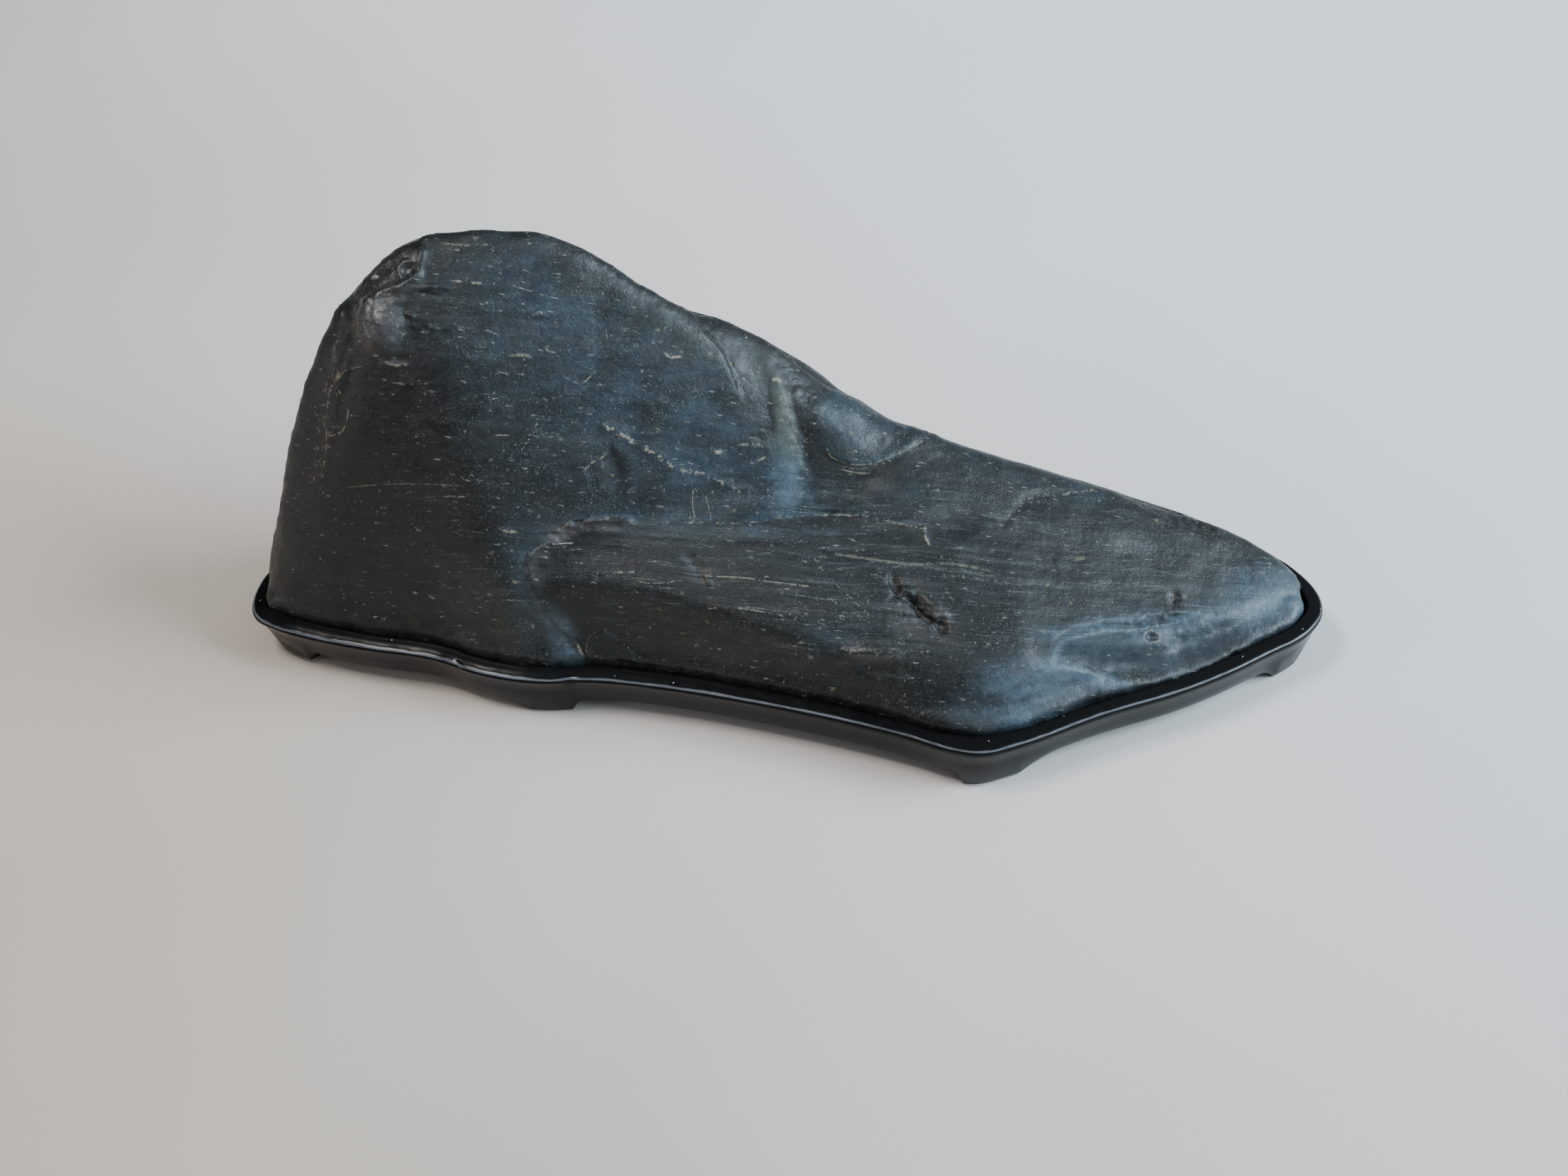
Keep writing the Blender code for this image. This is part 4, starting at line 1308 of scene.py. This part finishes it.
class StageSettings(PropertyGroup):
    floor: FloatVectorProperty(
        name="Floor", description="Colour of the floor", subtype="COLOR", size=4,
        default=(0.93, 0.915, 0.9, 1.0),
    )
    window_power: FloatProperty(name="Window", description="Strength of the window's light", default=6.0)
    window_width: FloatProperty(
        name="Window width", description="Angle the window takes up", default=math.radians(37.0),
        subtype="ANGLE",
    )
    fill_power: FloatProperty(
        name="Fill", description="Power of the light overhead", default=7.5, unit="POWER"
    )
    side_power: FloatProperty(
        name="Side", description="Power of the light on the left", default=1.9, unit="POWER"
    )
    room: FloatProperty(name="Room", description="Strength of the room's even light", default=0.95)


class ROCK_OT_stone(Operator):
    """Remesh the stone's solid, wear its surface and give it its finish"""

    bl_idname = "rock.stone"
    bl_label = "Stone"

    def execute(self, context):
        settings = context.scene.rock_stone
        stone = object_from(merged_copy("stone"), "scholar_stone")
        self.weather(stone, settings)
        mesh = stone.data
        for change in (draw_in, relax_left_end, fit_to_seat, press, refine_front):
            change(mesh)
        wear(mesh, settings.swell)
        fit_to_seat(mesh)
        keep_fields(mesh)
        mesh.shade_smooth()
        mesh.materials.clear()
        mesh.materials.append(stone_finish(settings))
        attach(stone, "root")
        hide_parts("stone")
        return {"FINISHED"}

    def weather(self, stone, settings):
        remesh = stone.modifiers.new("grid", "REMESH")
        remesh.mode = "VOXEL"
        remesh.voxel_size = settings.grid
        smooth = stone.modifiers.new("weather", "SMOOTH")
        smooth.factor = 0.5
        smooth.iterations = settings.weathering
        apply_modifiers(stone)


class ROCK_OT_stand(Operator):
    """Extrude the stand ring by ring from its outline and lacquer it"""

    bl_idname = "rock.stand"
    bl_label = "Stand"

    def execute(self, context):
        settings = context.scene.rock_stand
        bm = bmesh.new()
        self.extrude_rings(bm, stand_rings(rim_outline(), settings.rounding))
        bmesh.ops.recalc_face_normals(bm, faces=bm.faces)
        stand = object_from(bm, "lacquered_stand")
        stand.data.shade_smooth()
        stand.data.materials.append(lacquer_finish(settings))
        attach(stand, "root")
        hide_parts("stand")
        return {"FINISHED"}

    def extrude_rings(self, bm, rings):
        """Extrudes a closed ring of edges from one set of places to the next, and fills both ends."""
        bmesh.ops.create_circle(bm, segments=len(rings[0]), radius=1.0)
        bm.verts.ensure_lookup_table()
        station = bm.verts.layers.int.new("station")
        edge = bm.verts.layers.float.new("edge")
        around = sorted(bm.verts, key=lambda v: math.atan2(v.co.y, v.co.x))
        for number, vert in enumerate(around):
            vert[station] = number
            vert.co = Vector(rings[0][number]) * MM
        edges = list(bm.edges)
        bmesh.ops.edgeloop_fill(bm, edges=edges)
        for level, ring in enumerate(rings[1:], 1):
            made = bmesh.ops.extrude_edge_only(bm, edges=edges)["geom"]
            edges = [part for part in made if isinstance(part, bmesh.types.BMEdge)]
            for vert in (part for part in made if isinstance(part, bmesh.types.BMVert)):
                vert.co = Vector(ring[vert[station]]) * MM
                # Marks the rim's rounded edge, which the lacquer paints with a highlight.
                vert[edge] = 1.0 if level in HIGHLIGHT_RINGS else 0.0
        bmesh.ops.edgeloop_fill(bm, edges=edges)


class ROCK_OT_stage(Operator):
    """Lay the floor, hang the lights and set the camera"""

    bl_idname = "rock.stage"
    bl_label = "Stage"

    def execute(self, context):
        settings = context.scene.rock_stage
        self.lay_floor(settings)
        self.open_window(settings)
        self.hang_light("fill", settings.fill_power, *FILL_LIGHT)
        self.hang_light("side", settings.side_power, *SIDE_LIGHT)
        self.light_room(settings)
        self.set_camera()
        return {"FINISHED"}

    def lay_floor(self, settings):
        bm = bmesh.new()
        bmesh.ops.create_grid(bm, x_segments=8, y_segments=8, size=FLOOR_REACH)
        floor = object_from(bm, "floor")
        look = Finish("paper_floor")
        # The floor is painted paler towards the window and darker towards the near left, as painted light and
        # shade.
        tone = look.spread(look.along(look.place, PALER_WAY), "paler_floor")
        tone = look.maths("ADD", tone, look.spread(look.pattern("aged", look.place), "aged_floor"))
        away = look.add("ShaderNodeVectorMath", {"operation": "LENGTH"})
        look.feed(away.inputs[0], look.place)
        tone = look.maths("MAXIMUM", tone, look.spread(away.outputs["Value"], "far_floor"))
        colour = look.mixed(tone, SHADED_NEAR_FLOOR, list(settings.floor))
        paper = look.pattern("paper", look.place)
        floor.data.materials.append(
            look.complete(colour, PAPER_ROUGHNESS, PAPER_SPECULAR, paper, *PAPER_BUMP)
        )

    def add_object(self, name, data):
        made = bpy.data.objects.new(name, data)
        bpy.context.scene.collection.objects.link(made)
        return made

    def open_window(self, settings):
        """A wide, far and cool light from the right, as even near the stone as away from it."""
        lamp = bpy.data.lights.new("window", "SUN")
        lamp.angle = settings.window_width
        lamp.energy = settings.window_power
        lamp.color = WINDOW_COLOUR
        light = self.add_object("window", lamp)
        light.location = WINDOW_SIDE
        light.rotation_euler = (-Vector(WINDOW_SIDE)).to_track_quat("-Z", "Y").to_euler()

    def hang_light(self, name, power, place, sides, colour):
        lamp = bpy.data.lights.new(name, "AREA")
        lamp.shape = "RECTANGLE"
        lamp.size, lamp.size_y = sides
        lamp.energy = power
        lamp.color = colour
        light = self.add_object(name, lamp)
        light.location = place
        light.rotation_euler = (Vector(LIT_PLACE) - Vector(place)).to_track_quat("-Z", "Y").to_euler()

    def light_room(self, settings):
        world = bpy.data.worlds.new("room")
        world.use_nodes = True
        look = Shading(world.node_tree)
        way = look.add("ShaderNodeTexCoord").outputs["Generated"]
        share = look.spread(look.along(way, WINDOW_SIDE), "room")
        room = look.mixed(share, DIM_ROOM, BRIGHT_ROOM)
        seen_by_camera = look.add("ShaderNodeLightPath").outputs["Is Camera Ray"]
        background = look.tree.nodes["Background"]
        look.feed(background.inputs["Color"], look.mixed(seen_by_camera, room, BACKDROP))
        look.feed(background.inputs["Strength"], settings.room)
        bpy.context.scene.world = world

    def set_camera(self):
        lens = bpy.data.cameras.new("view")
        lens.sensor_width = SENSOR_WIDTH
        lens.lens = SENSOR_WIDTH * VIEW_FOCAL / VIEW_WIDTH
        lens.clip_start = NEAREST_SEEN * MM
        camera = self.add_object("view", lens)
        camera.location = Vector(VIEW_PLACE) * MM
        camera.rotation_euler = (math.pi / 2 - VIEW_PITCH, 0.0, 0.0)
        bpy.context.scene.camera = camera


class ROCK_PT_panel(Panel):
    bl_idname = "ROCK_PT_panel"
    bl_label = "Scholar's Rock"
    bl_space_type = "VIEW_3D"
    bl_region_type = "UI"
    bl_category = "Rock"

    def draw(self, context):
        for group, operator in STEPS_IN_ORDER:
            box = self.layout.box()
            for key in getattr(context.scene, group).__annotations__:
                box.prop(getattr(context.scene, group), key)
            box.operator(operator)


STEPS_IN_ORDER = (("rock_stage", "rock.stage"), ("rock_stone", "rock.stone"), ("rock_stand", "rock.stand"))
GROUPS = (("rock_stone", StoneSettings), ("rock_stand", StandSettings), ("rock_stage", StageSettings))
OPERATORS = (ROCK_OT_stone, ROCK_OT_stand, ROCK_OT_stage)


def register():
    for name, group in GROUPS:
        bpy.utils.register_class(group)
        setattr(bpy.types.Scene, name, PointerProperty(type=group))
    for operator in OPERATORS:
        bpy.utils.register_class(operator)
    bpy.utils.register_class(ROCK_PT_panel)


def unregister():
    bpy.utils.unregister_class(ROCK_PT_panel)
    for operator in reversed(OPERATORS):
        bpy.utils.unregister_class(operator)
    for name, group in reversed(GROUPS):
        delattr(bpy.types.Scene, name)
        bpy.utils.unregister_class(group)


def main():
    register()
    bpy.ops.rock.stage()
    bpy.ops.rock.stone()
    bpy.ops.rock.stand()


if __name__ == "__main__":
    main()
